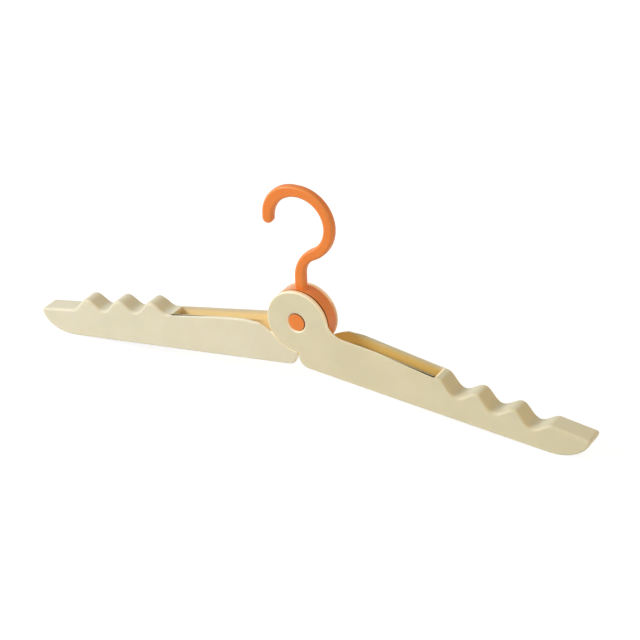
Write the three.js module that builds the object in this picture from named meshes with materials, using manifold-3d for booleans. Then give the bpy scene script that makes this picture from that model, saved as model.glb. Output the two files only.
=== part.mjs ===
// Folding travel hanger, in millimetres, with +Z up, +X along the right arm and the viewer on -Y.
// Two channel-shaped arms turn on one pin on either side of the hook's round hub. Folded up, their
// top edges meet, the left arm's waves mesh with the right arm's, and the hook lies inside both.
// The origin is the point of the hook that sits on a rail, straight above the pin.

import * as THREE from 'three';
import { mergeVertices } from 'three/addons/utils/BufferGeometryUtils.js';
import Module from 'manifold-3d';

// Arms
const armThickness = 18;
const armReach = 213;
const armSlopeDegrees = 10.1;
const armTaperDegrees = 3.85;
const armEdgeRadius = 1.2;
const wallThickness = 2;
const foldGap = 0.5;

// Rounded tip, with the flat landing above it
const tipLength = 24.8;
const tipCornerRadius = 1.9;

// Waves that keep straps in place, between the channel's end and the landing
const landingLength = 26.8;
const waveHeight = 7.8;
const waveCount = 3;

// Hinge ear of an arm, and the end of its opposite wall
const earRadius = 22.2;
const earThickness = 3.2;
const earNeckRadius = 16;
const earHeelRadius = 8;
const wallHeelRadius = 6.5;
const wallCutReach = 31.8;
const wallCutDegrees = 36.5;
const wallCutRadius = 8;

// Channel that takes half of the hook
const channelReach = 101.8;
const channelEndWall = 3.3;
const channelCornerRadius = 2;
const floorThickness = 2;
const floorStart = 10;

// Hollow underside of the outer half
const coreRoofThickness = 2.6;
const coreCornerRadius = 1.5;
const ribThickness = 1.6;
const tipSolidLength = 7;

// Hook
const hookWidth = 7.5;
const hookThickness = 6.2;
const hookLoopRadius = 26.4;
const hookStemLength = 8.2;
const hookBendRadius = 25;
const hookThroatRadius = 13.5;
const hookShoulderOffset = 2.9;
const hookRootRadius = 3;
const hookEdgeRadius = 1.5;

// Hub of the hook
const hubRimRadius = 0.6;
const hubBossWall = 4.2;
const hubRimWall = 8.2;
const hubWebThickness = 3.2;

// Stop lug on the hub, and the pocket in each ear that it travels in
const lugInnerRadius = 14.4;
const lugSetback = 0.4;
const lugHalfDegrees = 22;
const pocketSkin = 1.8;

// Pin and its cap
const pinHeadRadius = 6.3;
const pinHeadSink = 0.2;
const pinHeadDome = 0.3;
const pinHoleChamfer = 0.7;
const pinHeadSeat = 2;
const pinShaftRadius = 3.5;
const pinBoreRadius = 2.1;
const pinBoreDepth = 9;
const capStudTaper = 0.5;

// Clearances
const fitGap = 0.3;
const headGap = 0.4;
const rimGap = 0.4;
const loopCover = 0.8;
const heelGap = 1.5;

// Room that a cutting tool keeps past the face that it cuts
const overrun = 5;

// Facets
const circleSteps = 64;
const waveSteps = 16;
const filletSteps = 6;
const curveSteps = 10;
const bevelSteps = 3;
const degree = Math.PI / 180;

// Values that follow from the sizes above
const slope = armSlopeDegrees * degree;
const taper = armTaperDegrees * degree;
const halfThickness = armThickness / 2;
const foldAngle = Math.PI / 2 + slope;
const topEdge = -foldGap / 2;
const hubRadius = earRadius;
const hubHalfWidth = halfThickness - earThickness - fitGap;
const pocketRadius = earRadius + rimGap;
const hookInnerRadius = hookLoopRadius - hookWidth;
const hookMidRadius = hookLoopRadius - hookWidth / 2;
const hookShoulderRadius = hookLoopRadius - hookShoulderOffset;
const hookBendX = hookBendRadius - hookWidth / 2;
const hookBendDrop = Math.sqrt((hookInnerRadius + hookBendRadius) ** 2 - hookBendX ** 2);
const hookLoopHeight = hubRadius + hookStemLength + hookBendDrop;
const seatHeight = hookLoopHeight + hookInnerRadius;
const armDrop = hookLoopRadius + loopCover + hookLoopHeight * Math.tan(taper);
const waveStart = channelReach + channelEndWall;
const waveEnd = armReach - landingLength;
const wavePitch = (waveEnd - waveStart) / waveCount;
const stock = armReach + hookLoopHeight;

const cream = new THREE.MeshStandardMaterial({ color: 0xe3dcc3, roughness: 0.42, metalness: 0 });
const orange = new THREE.MeshStandardMaterial({ color: 0xee853c, roughness: 0.45, metalness: 0 });

const wasm = await Module();
wasm.setup();

// Solids from closed geometries, and meshes from solids
function solidOf(geometry) {
  geometry.deleteAttribute('normal');
  geometry.deleteAttribute('uv');
  const welded = mergeVertices(geometry);
  return new wasm.Manifold(new wasm.Mesh({
    numProp: 3,
    vertProperties: new Float32Array(welded.attributes.position.array),
    triVerts: new Uint32Array(welded.index.array),
  }));
}

function meshOf(name, solid, material) {
  const { vertProperties, triVerts } = solid.getMesh();
  const geometry = new THREE.BufferGeometry();
  geometry.setAttribute('position', new THREE.BufferAttribute(vertProperties, 3));
  geometry.setIndex(new THREE.BufferAttribute(triVerts, 1));
  geometry.computeVertexNormals();
  const mesh = new THREE.Mesh(geometry, material);
  mesh.name = name;
  return mesh;
}

function arcPoints(center, radius, start, end, steps) {
  const points = [];
  for (let i = 0; i <= steps; i++) {
    const angle = start + (end - start) * i / steps;
    points.push(new THREE.Vector2(center.x + radius * Math.cos(angle), center.y + radius * Math.sin(angle)));
  }
  return points;
}

// Arc that rounds the corner of three outline points
function filletPoints(before, corner, after, radius) {
  const toBefore = before.clone().sub(corner).normalize();
  const toAfter = after.clone().sub(corner).normalize();
  const halfAngle = Math.acos(toBefore.dot(toAfter)) / 2;
  const middle = toBefore.clone().add(toAfter).normalize();
  const center = corner.clone().addScaledVector(middle, radius / Math.sin(halfAngle));
  const first = corner.clone().addScaledVector(toBefore, radius / Math.tan(halfAngle)).sub(center);
  const turn = (Math.PI - 2 * halfAngle) * Math.sign(toBefore.cross(toAfter)) * -1;
  const start = Math.atan2(first.y, first.x);
  return arcPoints(center, radius, start, start + turn, filletSteps);
}

// Plate whose outline lies in the X-Z plane, between two Y values
function plateBetween(points, yStart, yEnd) {
  const shape = new THREE.Shape(points);
  const geometry = new THREE.ExtrudeGeometry(shape, { depth: yEnd - yStart, bevelEnabled: false });
  geometry.rotateX(Math.PI / 2);
  geometry.translate(0, yEnd, 0);
  return solidOf(geometry);
}

// Plate centred on Y = 0, with every outer edge rounded
function roundedPlate(points, thickness, radius) {
  const shape = new THREE.Shape(points);
  const depth = thickness - 2 * radius;
  const geometry = new THREE.ExtrudeGeometry(shape, {
    depth,
    bevelThickness: radius,
    bevelSize: radius,
    bevelOffset: -radius,
    bevelSegments: bevelSteps,
  });
  geometry.rotateX(Math.PI / 2);
  geometry.translate(0, depth / 2, 0);
  return solidOf(geometry);
}

// Upright column whose outline lies in the X-Y plane
function column(points, zStart, zEnd) {
  const shape = new THREE.Shape(points);
  const geometry = new THREE.ExtrudeGeometry(shape, { depth: zEnd - zStart, bevelEnabled: false });
  geometry.translate(0, 0, zStart);
  return solidOf(geometry);
}

// Disc or drum round the pin axis, between two Y values
function drum(radius, yStart, yEnd) {
  const geometry = new THREE.CylinderGeometry(radius, radius, yEnd - yStart, circleSteps);
  geometry.translate(0, (yStart + yEnd) / 2, 0);
  return solidOf(geometry);
}

// Solid turned round the pin axis from a closed profile of radius and Y
function turned(profile) {
  const closed = [...profile, profile[0]];
  const points = closed.map(([radius, y]) => new THREE.Vector2(radius, y));
  return solidOf(new THREE.LatheGeometry(points, circleSteps));
}

// Part of a ring round the pin axis, between two angles in the X-Z plane
function ringSector(inner, outer, start, end, yStart, yEnd) {
  const center = new THREE.Vector2(0, 0);
  const steps = Math.ceil(circleSteps * (end - start) / (2 * Math.PI));
  const points = arcPoints(center, outer, start, end, steps);
  points.push(...arcPoints(center, inner, end, start, steps));
  return plateBetween(points, yStart, yEnd);
}

// Rounded rectangle in the X-Y plane, centred on Y = 0
function slotPoints(xStart, xEnd, halfWidth, radius) {
  const corners = [
    new THREE.Vector2(xStart, -halfWidth),
    new THREE.Vector2(xEnd, -halfWidth),
    new THREE.Vector2(xEnd, halfWidth),
    new THREE.Vector2(xStart, halfWidth),
  ];
  const points = [];
  for (let i = 0; i < corners.length; i++) {
    const before = corners[(i + corners.length - 1) % corners.length];
    const after = corners[(i + 1) % corners.length];
    points.push(...filletPoints(before, corners[i], after, radius));
  }
  return points;
}

// Arm outlines. In an arm's own frame X runs out along its top edge, Z is square to that edge and
// the pin axis is the Y axis. The ear is on the -Y side.
function inArm(x, z) {
  const cos = Math.cos(slope);
  const sin = Math.sin(slope);
  return new THREE.Vector2(x * cos - z * sin, x * sin + z * cos);
}

function underside(x) {
  return -armDrop + x * Math.tan(taper);
}

function topProfile(x, waveSide) {
  if (x <= waveStart || x >= waveEnd) return topEdge;
  const phase = 2 * Math.PI * (x - waveStart) / wavePitch;
  return topEdge + waveSide * waveHeight * (1 - Math.cos(phase)) / 2;
}

function wavePoints(start, end, drop, waveSide) {
  const steps = Math.round(waveSteps * (end - start) / wavePitch);
  const points = [];
  for (let i = 0; i <= steps; i++) {
    const x = start + (end - start) * i / steps;
    points.push(new THREE.Vector2(x, topProfile(x, waveSide) - drop));
  }
  return points;
}

// Tip, landing and waves, from the underside round to the top edge
function outerPoints(waveSide) {
  const points = [];
  const center = armReach - tipLength;
  const cornerRoom = tipCornerRadius + armEdgeRadius;
  const lastAngle = Math.acos(cornerRoom / (topEdge - underside(armReach)));
  for (let i = 0; i <= curveSteps; i++) {
    const angle = lastAngle * i / curveSteps;
    const x = center + tipLength * Math.sin(angle);
    points.push(new THREE.Vector2(x, topEdge - (topEdge - underside(x)) * Math.cos(angle)));
  }
  const corner = new THREE.Vector2(armReach, topEdge);
  const landing = new THREE.Vector2(waveEnd, topEdge);
  points.push(...filletPoints(points[points.length - 1], corner, landing, tipCornerRadius));
  points.push(...wavePoints(waveStart, waveEnd, 0, waveSide).reverse());
  return points;
}

// Lower inner corner, where the two arms' end faces stand side by side under the pin
function heelPoints(radius, from) {
  const offset = heelGap / 2;
  const sin = Math.sin(slope);
  const cos = Math.cos(slope);
  const depth = (armDrop + offset * sin - offset * cos * Math.tan(taper)) / (cos + sin * Math.tan(taper));
  const tipStart = armReach - tipLength;
  const after = new THREE.Vector2(tipStart, underside(tipStart));
  return filletPoints(inArm(offset, -from), inArm(offset, -depth), after, radius);
}

function earSideOutline(waveSide) {
  const offset = heelGap / 2;
  const neckZ = topEdge + earNeckRadius;
  const neckX = Math.sqrt((earRadius + earNeckRadius) ** 2 - neckZ ** 2);
  const neckAngle = Math.atan2(neckZ, neckX);
  const heel = inArm(offset, -Math.sqrt(earRadius ** 2 - offset ** 2));
  const heelAngle = Math.atan2(heel.y, heel.x) + 2 * Math.PI;
  const steps = Math.round(circleSteps * (heelAngle - neckAngle) / (2 * Math.PI));
  return [
    ...heelPoints(earHeelRadius, earRadius),
    ...outerPoints(waveSide),
    ...arcPoints(new THREE.Vector2(neckX, neckZ), earNeckRadius, -Math.PI / 2, neckAngle - Math.PI, curveSteps),
    ...arcPoints(new THREE.Vector2(0, 0), earRadius, neckAngle, heelAngle, steps).slice(1),
  ];
}

// The wall opposite the ear stops at a slanting cut, which leaves room for the other arm's neck
function wallSideOutline(waveSide) {
  const cut = wallCutDegrees * degree;
  const cutTop = new THREE.Vector2(wallCutReach, topEdge);
  const cutLength = wallCutReach * Math.cos(cut);
  const cutEnd = new THREE.Vector2(
    wallCutReach - cutLength * Math.cos(cut),
    topEdge - cutLength * Math.sin(cut),
  );
  const before = new THREE.Vector2(waveStart, topEdge);
  const insideRim = earRadius - earThickness;
  return [
    ...heelPoints(wallHeelRadius, earRadius),
    ...outerPoints(waveSide),
    ...filletPoints(before, cutTop, cutEnd, wallCutRadius),
    cutEnd,
    inArm(heelGap / 2, -insideRim),
  ];
}

// Cutting tools of an arm
function channelTool() {
  const halfWidth = halfThickness - wallThickness;
  const floorEnd = channelReach + overrun;
  const side = [
    new THREE.Vector2(-stock, -stock),
    new THREE.Vector2(floorStart, -stock),
    new THREE.Vector2(floorStart, underside(floorStart) + floorThickness),
    new THREE.Vector2(floorEnd, underside(floorEnd) + floorThickness),
    new THREE.Vector2(floorEnd, stock),
    new THREE.Vector2(-stock, stock),
  ];
  const plan = slotPoints(-earRadius, channelReach, halfWidth, channelCornerRadius);
  const room = column(plan, -stock, stock).intersect(plateBetween(side, -halfWidth, halfWidth));
  return room.subtract(drum(earRadius, -halfThickness, earThickness - halfThickness));
}

// Window in the channel floor for the part of the hook's loop that is wider than the arm is deep
function windowTool() {
  const roomAtLoop = underside(hookLoopHeight) + floorThickness;
  const reach = -roomAtLoop - fitGap;
  const below = Math.sqrt(hookLoopRadius ** 2 - reach ** 2) + headGap;
  const inShoulder = reach - hookShoulderOffset;
  const above = hookShoulderOffset + Math.sqrt(hookShoulderRadius ** 2 - inShoulder ** 2) + headGap;
  const halfWidth = hookThickness / 2 + headGap;
  const start = hookLoopHeight - below - hookThickness;
  const end = hookLoopHeight + above + hookThickness;
  const plan = slotPoints(start, end, halfWidth, halfWidth / 2);
  return column(plan, underside(start) - overrun, underside(start) + floorThickness + overrun);
}

// Hollow underside: one bay under each wave and one in the tip, parted by cross ribs
function coreTool(waveSide) {
  const halfWidth = halfThickness - wallThickness;
  const starts = [];
  for (let i = 0; i <= waveCount; i++) starts.push(waveStart + i * wavePitch + ribThickness / 2);
  const bays = [];
  for (let i = 0; i < starts.length; i++) {
    const start = starts[i];
    const end = i < waveCount ? starts[i + 1] - ribThickness : armReach - tipSolidLength;
    const roof = wavePoints(start, end, coreRoofThickness, waveSide).reverse();
    const side = [new THREE.Vector2(start, -stock), new THREE.Vector2(end, -stock), ...roof];
    const plan = slotPoints(start, end, halfWidth, coreCornerRadius);
    bays.push(column(plan, -stock, stock).intersect(plateBetween(side, -halfWidth, halfWidth)));
  }
  return wasm.Manifold.union(bays);
}

// Pocket on the inner face of the ear. Its two ends meet the hub's lug when the arm is fully open
// and when it is folded up.
function pocketTool() {
  const lug = lugHalfDegrees * degree;
  const play = fitGap / lugInnerRadius;
  const open = 3 / 2 * Math.PI + slope + lug + play;
  const folded = open - 2 * lug - 2 * play - foldAngle;
  const inner = lugInnerRadius - fitGap;
  const y = -halfThickness + pocketSkin;
  return ringSector(inner, pocketRadius, folded, open, y, earThickness - halfThickness + overrun);
}

// Chamfered recess in the ear's outer face for the pin's head or the cap
function headHoleTool() {
  const rim = pinHeadRadius + headGap;
  const start = -halfThickness - overrun;
  return turned([
    [0, start],
    [rim + pinHoleChamfer + overrun, start],
    [rim, pinHoleChamfer - halfThickness],
    [rim, pinHeadSeat - halfThickness],
    [0, pinHeadSeat - halfThickness],
  ]);
}

function armSolid(waveSide) {
  const front = roundedPlate(earSideOutline(waveSide), armThickness, armEdgeRadius);
  const back = roundedPlate(wallSideOutline(waveSide), armThickness, armEdgeRadius);
  const half = new THREE.BoxGeometry(2 * stock, stock, 2 * stock);
  const frontHalf = solidOf(half.translate(0, -stock / 2, 0));
  const blank = front.intersect(frontHalf).add(back.subtract(frontHalf));
  const tools = [
    channelTool(),
    windowTool(),
    coreTool(waveSide),
    pocketTool(),
    drum(pocketRadius, earThickness - halfThickness, halfThickness + overrun),
    drum(pinShaftRadius + fitGap, -halfThickness - overrun, 0),
    headHoleTool(),
  ];
  return blank.subtract(wasm.Manifold.union(tools));
}

// Hook: stem, bend and loop in one flat outline
function hookOutline() {
  const half = hookWidth / 2;
  const loop = new THREE.Vector2(0, hookLoopHeight);
  const bend = new THREE.Vector2(hookBendX, hookLoopHeight - hookBendDrop);
  const bendAngle = Math.atan2(-hookBendDrop, hookBendX);
  const throatX = half + hookThroatRadius;
  const throatDrop = Math.sqrt((hookLoopRadius + hookThroatRadius) ** 2 - throatX ** 2);
  const throat = new THREE.Vector2(throatX, hookLoopHeight - throatDrop);
  const throatAngle = Math.atan2(-throatDrop, throatX);
  const shoulder = new THREE.Vector2(-hookShoulderOffset, hookLoopHeight + hookShoulderOffset);
  const tip = new THREE.Vector2(-hookMidRadius, hookLoopHeight);
  const rootX = half + hookRootRadius;
  const rootZ = Math.sqrt((hubRadius + hookRootRadius) ** 2 - rootX ** 2);
  const rootAngle = Math.atan2(rootZ, rootX);
  const root = new THREE.Vector2(rootX, rootZ);
  const mirroredRoot = new THREE.Vector2(-rootX, rootZ);
  const inHub = hubRadius - hubRimWall / 2;
  const steps = circleSteps / 2;
  return [
    new THREE.Vector2(-inHub * Math.cos(rootAngle), inHub * Math.sin(rootAngle)),
    new THREE.Vector2(inHub * Math.cos(rootAngle), inHub * Math.sin(rootAngle)),
    ...arcPoints(root, hookRootRadius, rootAngle + Math.PI, Math.PI, filletSteps),
    ...arcPoints(throat, hookThroatRadius, Math.PI, throatAngle + Math.PI, curveSteps),
    ...arcPoints(loop, hookLoopRadius, throatAngle, Math.PI / 2, steps).slice(1),
    ...arcPoints(shoulder, hookShoulderRadius, Math.PI / 2, Math.PI, curveSteps),
    ...arcPoints(tip, half, Math.PI, 2 * Math.PI, curveSteps),
    ...arcPoints(loop, hookInnerRadius, Math.PI, bendAngle, steps).slice(1),
    ...arcPoints(bend, hookBendRadius, bendAngle + Math.PI, Math.PI, curveSteps).slice(1),
    ...arcPoints(mirroredRoot, hookRootRadius, 0, -rootAngle, filletSteps),
  ];
}

function hubSolid() {
  const bore = pinShaftRadius + fitGap;
  const boss = pinShaftRadius + hubBossWall;
  const rim = hubRadius - hubRimWall;
  const web = hubWebThickness / 2;
  const profile = [
    [bore, -hubHalfWidth],
    [boss, -hubHalfWidth],
    [boss, -web],
    [rim, -web],
    [rim, -hubHalfWidth],
    [hubRadius - hubRimRadius, -hubHalfWidth],
    [hubRadius, hubRimRadius - hubHalfWidth],
    [hubRadius, hubHalfWidth - hubRimRadius],
    [hubRadius - hubRimRadius, hubHalfWidth],
    [rim, hubHalfWidth],
    [rim, web],
    [boss, web],
    [boss, hubHalfWidth],
    [bore, hubHalfWidth],
  ];
  return turned(profile);
}

function hookSolid() {
  const lugAngle = lugHalfDegrees * degree;
  const down = 3 / 2 * Math.PI;
  const lugHalfWidth = halfThickness - pocketSkin - fitGap;
  const lugRadius = hubRadius - lugSetback;
  const lug = ringSector(lugInnerRadius, lugRadius, down - lugAngle, down + lugAngle, -lugHalfWidth, lugHalfWidth);
  return roundedPlate(hookOutline(), hookThickness, hookEdgeRadius).add(hubSolid()).add(lug);
}

// Pin: a slightly domed head sunk in the front ear, and a shaft with a bore that takes the cap's stud
function pinSolid() {
  const face = -halfThickness + pinHeadSink;
  const seat = -halfThickness + pinHeadSeat - fitGap;
  const end = halfThickness - pinHeadSeat;
  return turned([
    [0, face],
    [pinHeadRadius - 2 * pinHeadDome, face + pinHeadDome / 2],
    [pinHeadRadius, face + 2 * pinHeadDome],
    [pinHeadRadius, seat],
    [pinShaftRadius, seat],
    [pinShaftRadius, end],
    [pinBoreRadius, end],
    [pinBoreRadius, end - pinBoreDepth],
    [0, end - pinBoreDepth],
  ]);
}

function capSolid() {
  const face = halfThickness - pinHeadSink;
  const seat = halfThickness - pinHeadSeat + fitGap;
  const stud = pinBoreRadius - fitGap;
  const studEnd = halfThickness - pinHeadSeat - pinBoreDepth + fitGap;
  return turned([
    [0, studEnd],
    [stud - capStudTaper, studEnd],
    [stud, studEnd + 2 * capStudTaper],
    [stud, seat],
    [pinHeadRadius, seat],
    [pinHeadRadius, face - 2 * pinHeadDome],
    [pinHeadRadius - 2 * pinHeadDome, face - pinHeadDome / 2],
    [0, face],
  ]);
}

function sideGroup(name, waveSide) {
  const side = new THREE.Group();
  side.add(meshOf(name, armSolid(waveSide), cream));
  side.rotation.y = slope;
  return side;
}

function buildHanger() {
  const hanger = new THREE.Group();
  const leftTurn = new THREE.Group();
  leftTurn.rotation.z = Math.PI;
  leftTurn.add(sideGroup('left_arm', 1));
  hanger.add(sideGroup('right_arm', -1));
  hanger.add(leftTurn);
  hanger.add(meshOf('hook', hookSolid(), orange));
  hanger.add(meshOf('pivot_pin', pinSolid(), orange));
  hanger.add(meshOf('pin_cap', capSolid(), orange));
  hanger.position.z = -seatHeight;
  return hanger;
}

const group = new THREE.Group();
group.add(buildHanger());

export default group;
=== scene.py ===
"""Looks of the folding travel hanger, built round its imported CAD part.

The frame is the part's own: +Z is up, the arms run along X, the hinge pin
points along Y and the viewer is on -Y. The hook's loop hangs on a rail at the
origin. Sizes in the classes are millimetres, and meshes are metres.
"""
import logging
import math
from collections.abc import Sequence
from dataclasses import dataclass, field
from enum import Enum

import bmesh
import bpy
import numpy as np
from mathutils import Matrix, Vector


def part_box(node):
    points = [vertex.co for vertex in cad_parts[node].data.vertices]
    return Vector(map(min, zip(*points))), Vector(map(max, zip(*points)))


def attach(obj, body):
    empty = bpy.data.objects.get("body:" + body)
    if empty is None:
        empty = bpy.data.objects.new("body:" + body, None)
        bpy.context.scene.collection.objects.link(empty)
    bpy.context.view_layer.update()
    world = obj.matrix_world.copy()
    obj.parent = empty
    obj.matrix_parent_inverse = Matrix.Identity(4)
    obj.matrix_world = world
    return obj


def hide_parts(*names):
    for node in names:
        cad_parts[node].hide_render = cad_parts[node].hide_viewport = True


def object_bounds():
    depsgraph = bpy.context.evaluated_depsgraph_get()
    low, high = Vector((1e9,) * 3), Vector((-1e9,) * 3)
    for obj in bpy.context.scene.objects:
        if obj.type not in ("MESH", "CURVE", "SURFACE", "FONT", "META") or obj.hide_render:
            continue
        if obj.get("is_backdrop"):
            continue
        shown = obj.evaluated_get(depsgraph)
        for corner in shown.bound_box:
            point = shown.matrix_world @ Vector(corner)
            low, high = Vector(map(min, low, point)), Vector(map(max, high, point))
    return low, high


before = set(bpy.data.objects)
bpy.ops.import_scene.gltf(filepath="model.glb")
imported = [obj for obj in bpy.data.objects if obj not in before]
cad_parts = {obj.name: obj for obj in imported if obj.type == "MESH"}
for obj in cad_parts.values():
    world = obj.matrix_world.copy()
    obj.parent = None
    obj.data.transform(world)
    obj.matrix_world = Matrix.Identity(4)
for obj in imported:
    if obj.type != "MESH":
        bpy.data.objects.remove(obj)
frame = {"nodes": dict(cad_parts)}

MM = 0.001
WELD = 0.002
TURN = 2 * math.pi
BLACK = (0.0, 0.0, 0.0)
WHITE = (1.0, 1.0, 1.0)
LEAST_LENGTH = 1e-6

Colour = tuple[float, float, float]
Socket = bpy.types.NodeSocket

log = logging.getLogger("hanger")


class Slot(Enum):
    """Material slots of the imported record."""

    ARM = "arm_plastic"
    HOOK = "hook_plastic"


class Body(Enum):
    """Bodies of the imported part."""

    HOOK = "hook"
    RIGHT_ARM = "right_arm"
    LEFT_ARM = "left_arm"


def linear(red: float, green: float, blue: float) -> Colour:
    """Turns a display colour into linear light.

    Args:
        red: Red, 0 to 255.
        green: Green, 0 to 255.
        blue: Blue, 0 to 255.

    Returns:
        The same colour in linear light, 0 to 1.
    """
    shown = np.array([red, green, blue]) / 255
    light = np.where(shown <= 0.04045, shown / 12.92, ((shown + 0.055) / 1.055) ** 2.4)
    return tuple(float(v) for v in light)


def opaque(colour: Colour) -> tuple[float, float, float, float]:
    """The colour with the full alpha that a colour socket wants."""
    return (*colour, 1.0)


# Surfaces worked out as whole arrays


def smooth(value: np.ndarray) -> np.ndarray:
    """Smooth step: 0 up to 0, 1 from 1 on, and v * v * (3 - 2 v) between."""
    share = np.clip(value, 0, 1)
    return share * share * (3 - 2 * share)


def grid_quads(rows: int, columns: int, ring_rows: bool, ring_columns: bool) -> np.ndarray:
    """Faces between the points of a grid that is stored row by row.

    Args:
        rows: Number of rows.
        columns: Number of columns.
        ring_rows: Whether the last row joins the first.
        ring_columns: Whether the last column joins the first.

    Returns:
        Four point numbers for each face.
    """
    i = np.arange(rows if ring_rows else rows - 1)[:, None]
    j = np.arange(columns if ring_columns else columns - 1)[None, :]
    next_i = (i + 1) % rows
    next_j = (j + 1) % columns
    around = ((i, j), (next_i, j), (next_i, next_j), (i, next_j))
    quads = np.broadcast_arrays(*(row * columns + column for row, column in around))
    return np.stack(quads, axis=-1).reshape(-1, 4)


def outward(points: np.ndarray, quads: np.ndarray) -> np.ndarray:
    """Turns every face of a closed surface round if the surface is inside out.

    The volume is the sum, over the faces, of a corner dotted with the cross
    product of the face's diagonals, which is negative for such a surface.

    Args:
        points: Points, one in each row.
        quads: Faces.

    Returns:
        Faces that point outwards.
    """
    a, b, c, d = (points[quads[:, k]] for k in range(4))
    volume = np.einsum("ij,ij->", a, np.cross(c - a, d - b))
    return quads[:, ::-1] if volume < 0 else quads


def arc(center: Sequence[float], radius: float, start: float, end: float, steps: int) -> np.ndarray:
    """Points of an arc: the center plus the radius times (cos, sin) of even angles from start to end."""
    angle = np.linspace(start, end, steps + 1)
    return np.asarray(center) + radius * np.stack([np.cos(angle), np.sin(angle)], axis=1)


def evenly(points: np.ndarray, count: int) -> np.ndarray:
    """Points at even distances along a line of points, by linear interpolation over its length.

    Args:
        points: Points of the line.
        count: Number of points wanted.

    Returns:
        The new points.
    """
    step = np.linalg.norm(np.diff(points, axis=0), axis=1)
    along = np.concatenate([[0.0], np.cumsum(step)])
    wanted = np.linspace(0.0, along[-1], count)
    return np.stack([np.interp(wanted, along, points[:, k]) for k in range(points.shape[1])], axis=1)


def rounded(corners: Sequence[tuple[float, float, float]], steps: int = 4, closed: bool = True) -> np.ndarray:
    """Outline whose corners are rounded by arcs.

    At a corner whose sides meet at an angle w, the arc's center lies radius /
    sin(w / 2) along the bisector, and the arc touches both sides.

    Args:
        corners: Two coordinates and a radius for each corner.
        steps: Steps of each arc.
        closed: Whether the last corner joins the first.

    Returns:
        Points of the outline.
    """
    spots = np.array([c[:2] for c in corners])
    points = []
    for k, (x, y, radius) in enumerate(corners):
        at_end = not closed and k in (0, len(corners) - 1)
        if radius == 0 or at_end:
            points.append([[x, y]])
            continue
        corner = spots[k]
        back = spots[k - 1] - corner
        ahead = spots[(k + 1) % len(spots)] - corner
        back, ahead = back / np.linalg.norm(back), ahead / np.linalg.norm(ahead)
        half = math.acos(float(np.clip(back @ ahead, -1, 1))) / 2
        middle = (back + ahead) / np.linalg.norm(back + ahead)
        center = corner + middle * radius / math.sin(half)
        first = corner + back * radius / math.tan(half) - center
        cross = back[0] * ahead[1] - back[1] * ahead[0]
        start = math.atan2(first[1], first[0])
        points.append(arc(center, radius, start, start - math.copysign(math.pi - 2 * half, cross), steps))
    return np.concatenate(points)


def turned(profile: np.ndarray, steps: int) -> np.ndarray:
    """Surface of a profile of radius and Y, turned all the way round the Y axis in even steps."""
    return carried(profile, np.linspace(0, TURN, steps, endpoint=False))


def carried(profile: np.ndarray, angles: np.ndarray) -> np.ndarray:
    """Surface of a profile carried round the Y axis: (r cos t, y, r sin t) over the profile and t.

    Args:
        profile: Radius and Y of each point.
        angles: The angles t.

    Returns:
        Grid of points, one angle in each row.
    """
    t = angles[:, None]
    radius, y = profile[:, 0][None, :], profile[:, 1][None, :]
    return np.stack(np.broadcast_arrays(radius * np.cos(t), y, radius * np.sin(t)), axis=-1)


def closed_end(row: np.ndarray) -> np.ndarray:
    """One more row for the end of a grid: the middle of its last row, once for each point."""
    return np.broadcast_to(row.mean(axis=0), row.shape)[None]


@dataclass
class Shell:
    """A closed grid surface, in millimetres from the pin's middle.

    Attributes:
        grid: Points as rows and columns.
        ring_rows: Whether the last row joins the first.
        ring_columns: Whether the last column joins the first.
    """

    grid: np.ndarray
    ring_rows: bool = False
    ring_columns: bool = True


def piece_from(name: str, shells: Sequence[Shell], origin: np.ndarray) -> bpy.types.Object:
    """Makes one piece of closed surfaces, with poles and seams welded.

    Args:
        name: Name of the piece.
        shells: Its surfaces.
        origin: Where the pin's middle is, in metres.

    Returns:
        The new piece, linked to the scene.
    """
    points, quads, count = [], [], 0
    for shell in shells:
        rows, columns = shell.grid.shape[:2]
        flat = shell.grid.reshape(-1, 3)
        faces = outward(flat, grid_quads(rows, columns, shell.ring_rows, shell.ring_columns))
        points.append(flat * MM + origin)
        quads.append(faces + count)
        count += len(flat)
    mesh = bpy.data.meshes.new(name)
    mesh.from_pydata(np.concatenate(points), [], np.concatenate(quads))
    welded = bmesh.new()
    welded.from_mesh(mesh)
    bmesh.ops.remove_doubles(welded, verts=welded.verts, dist=WELD * MM)
    bmesh.ops.dissolve_degenerate(welded, edges=welded.edges, dist=WELD * MM)
    welded.to_mesh(mesh)
    welded.free()
    mesh.shade_smooth()
    piece = bpy.data.objects.new(name, mesh)
    bpy.context.scene.collection.objects.link(piece)
    return piece


# Material nodes


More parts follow.
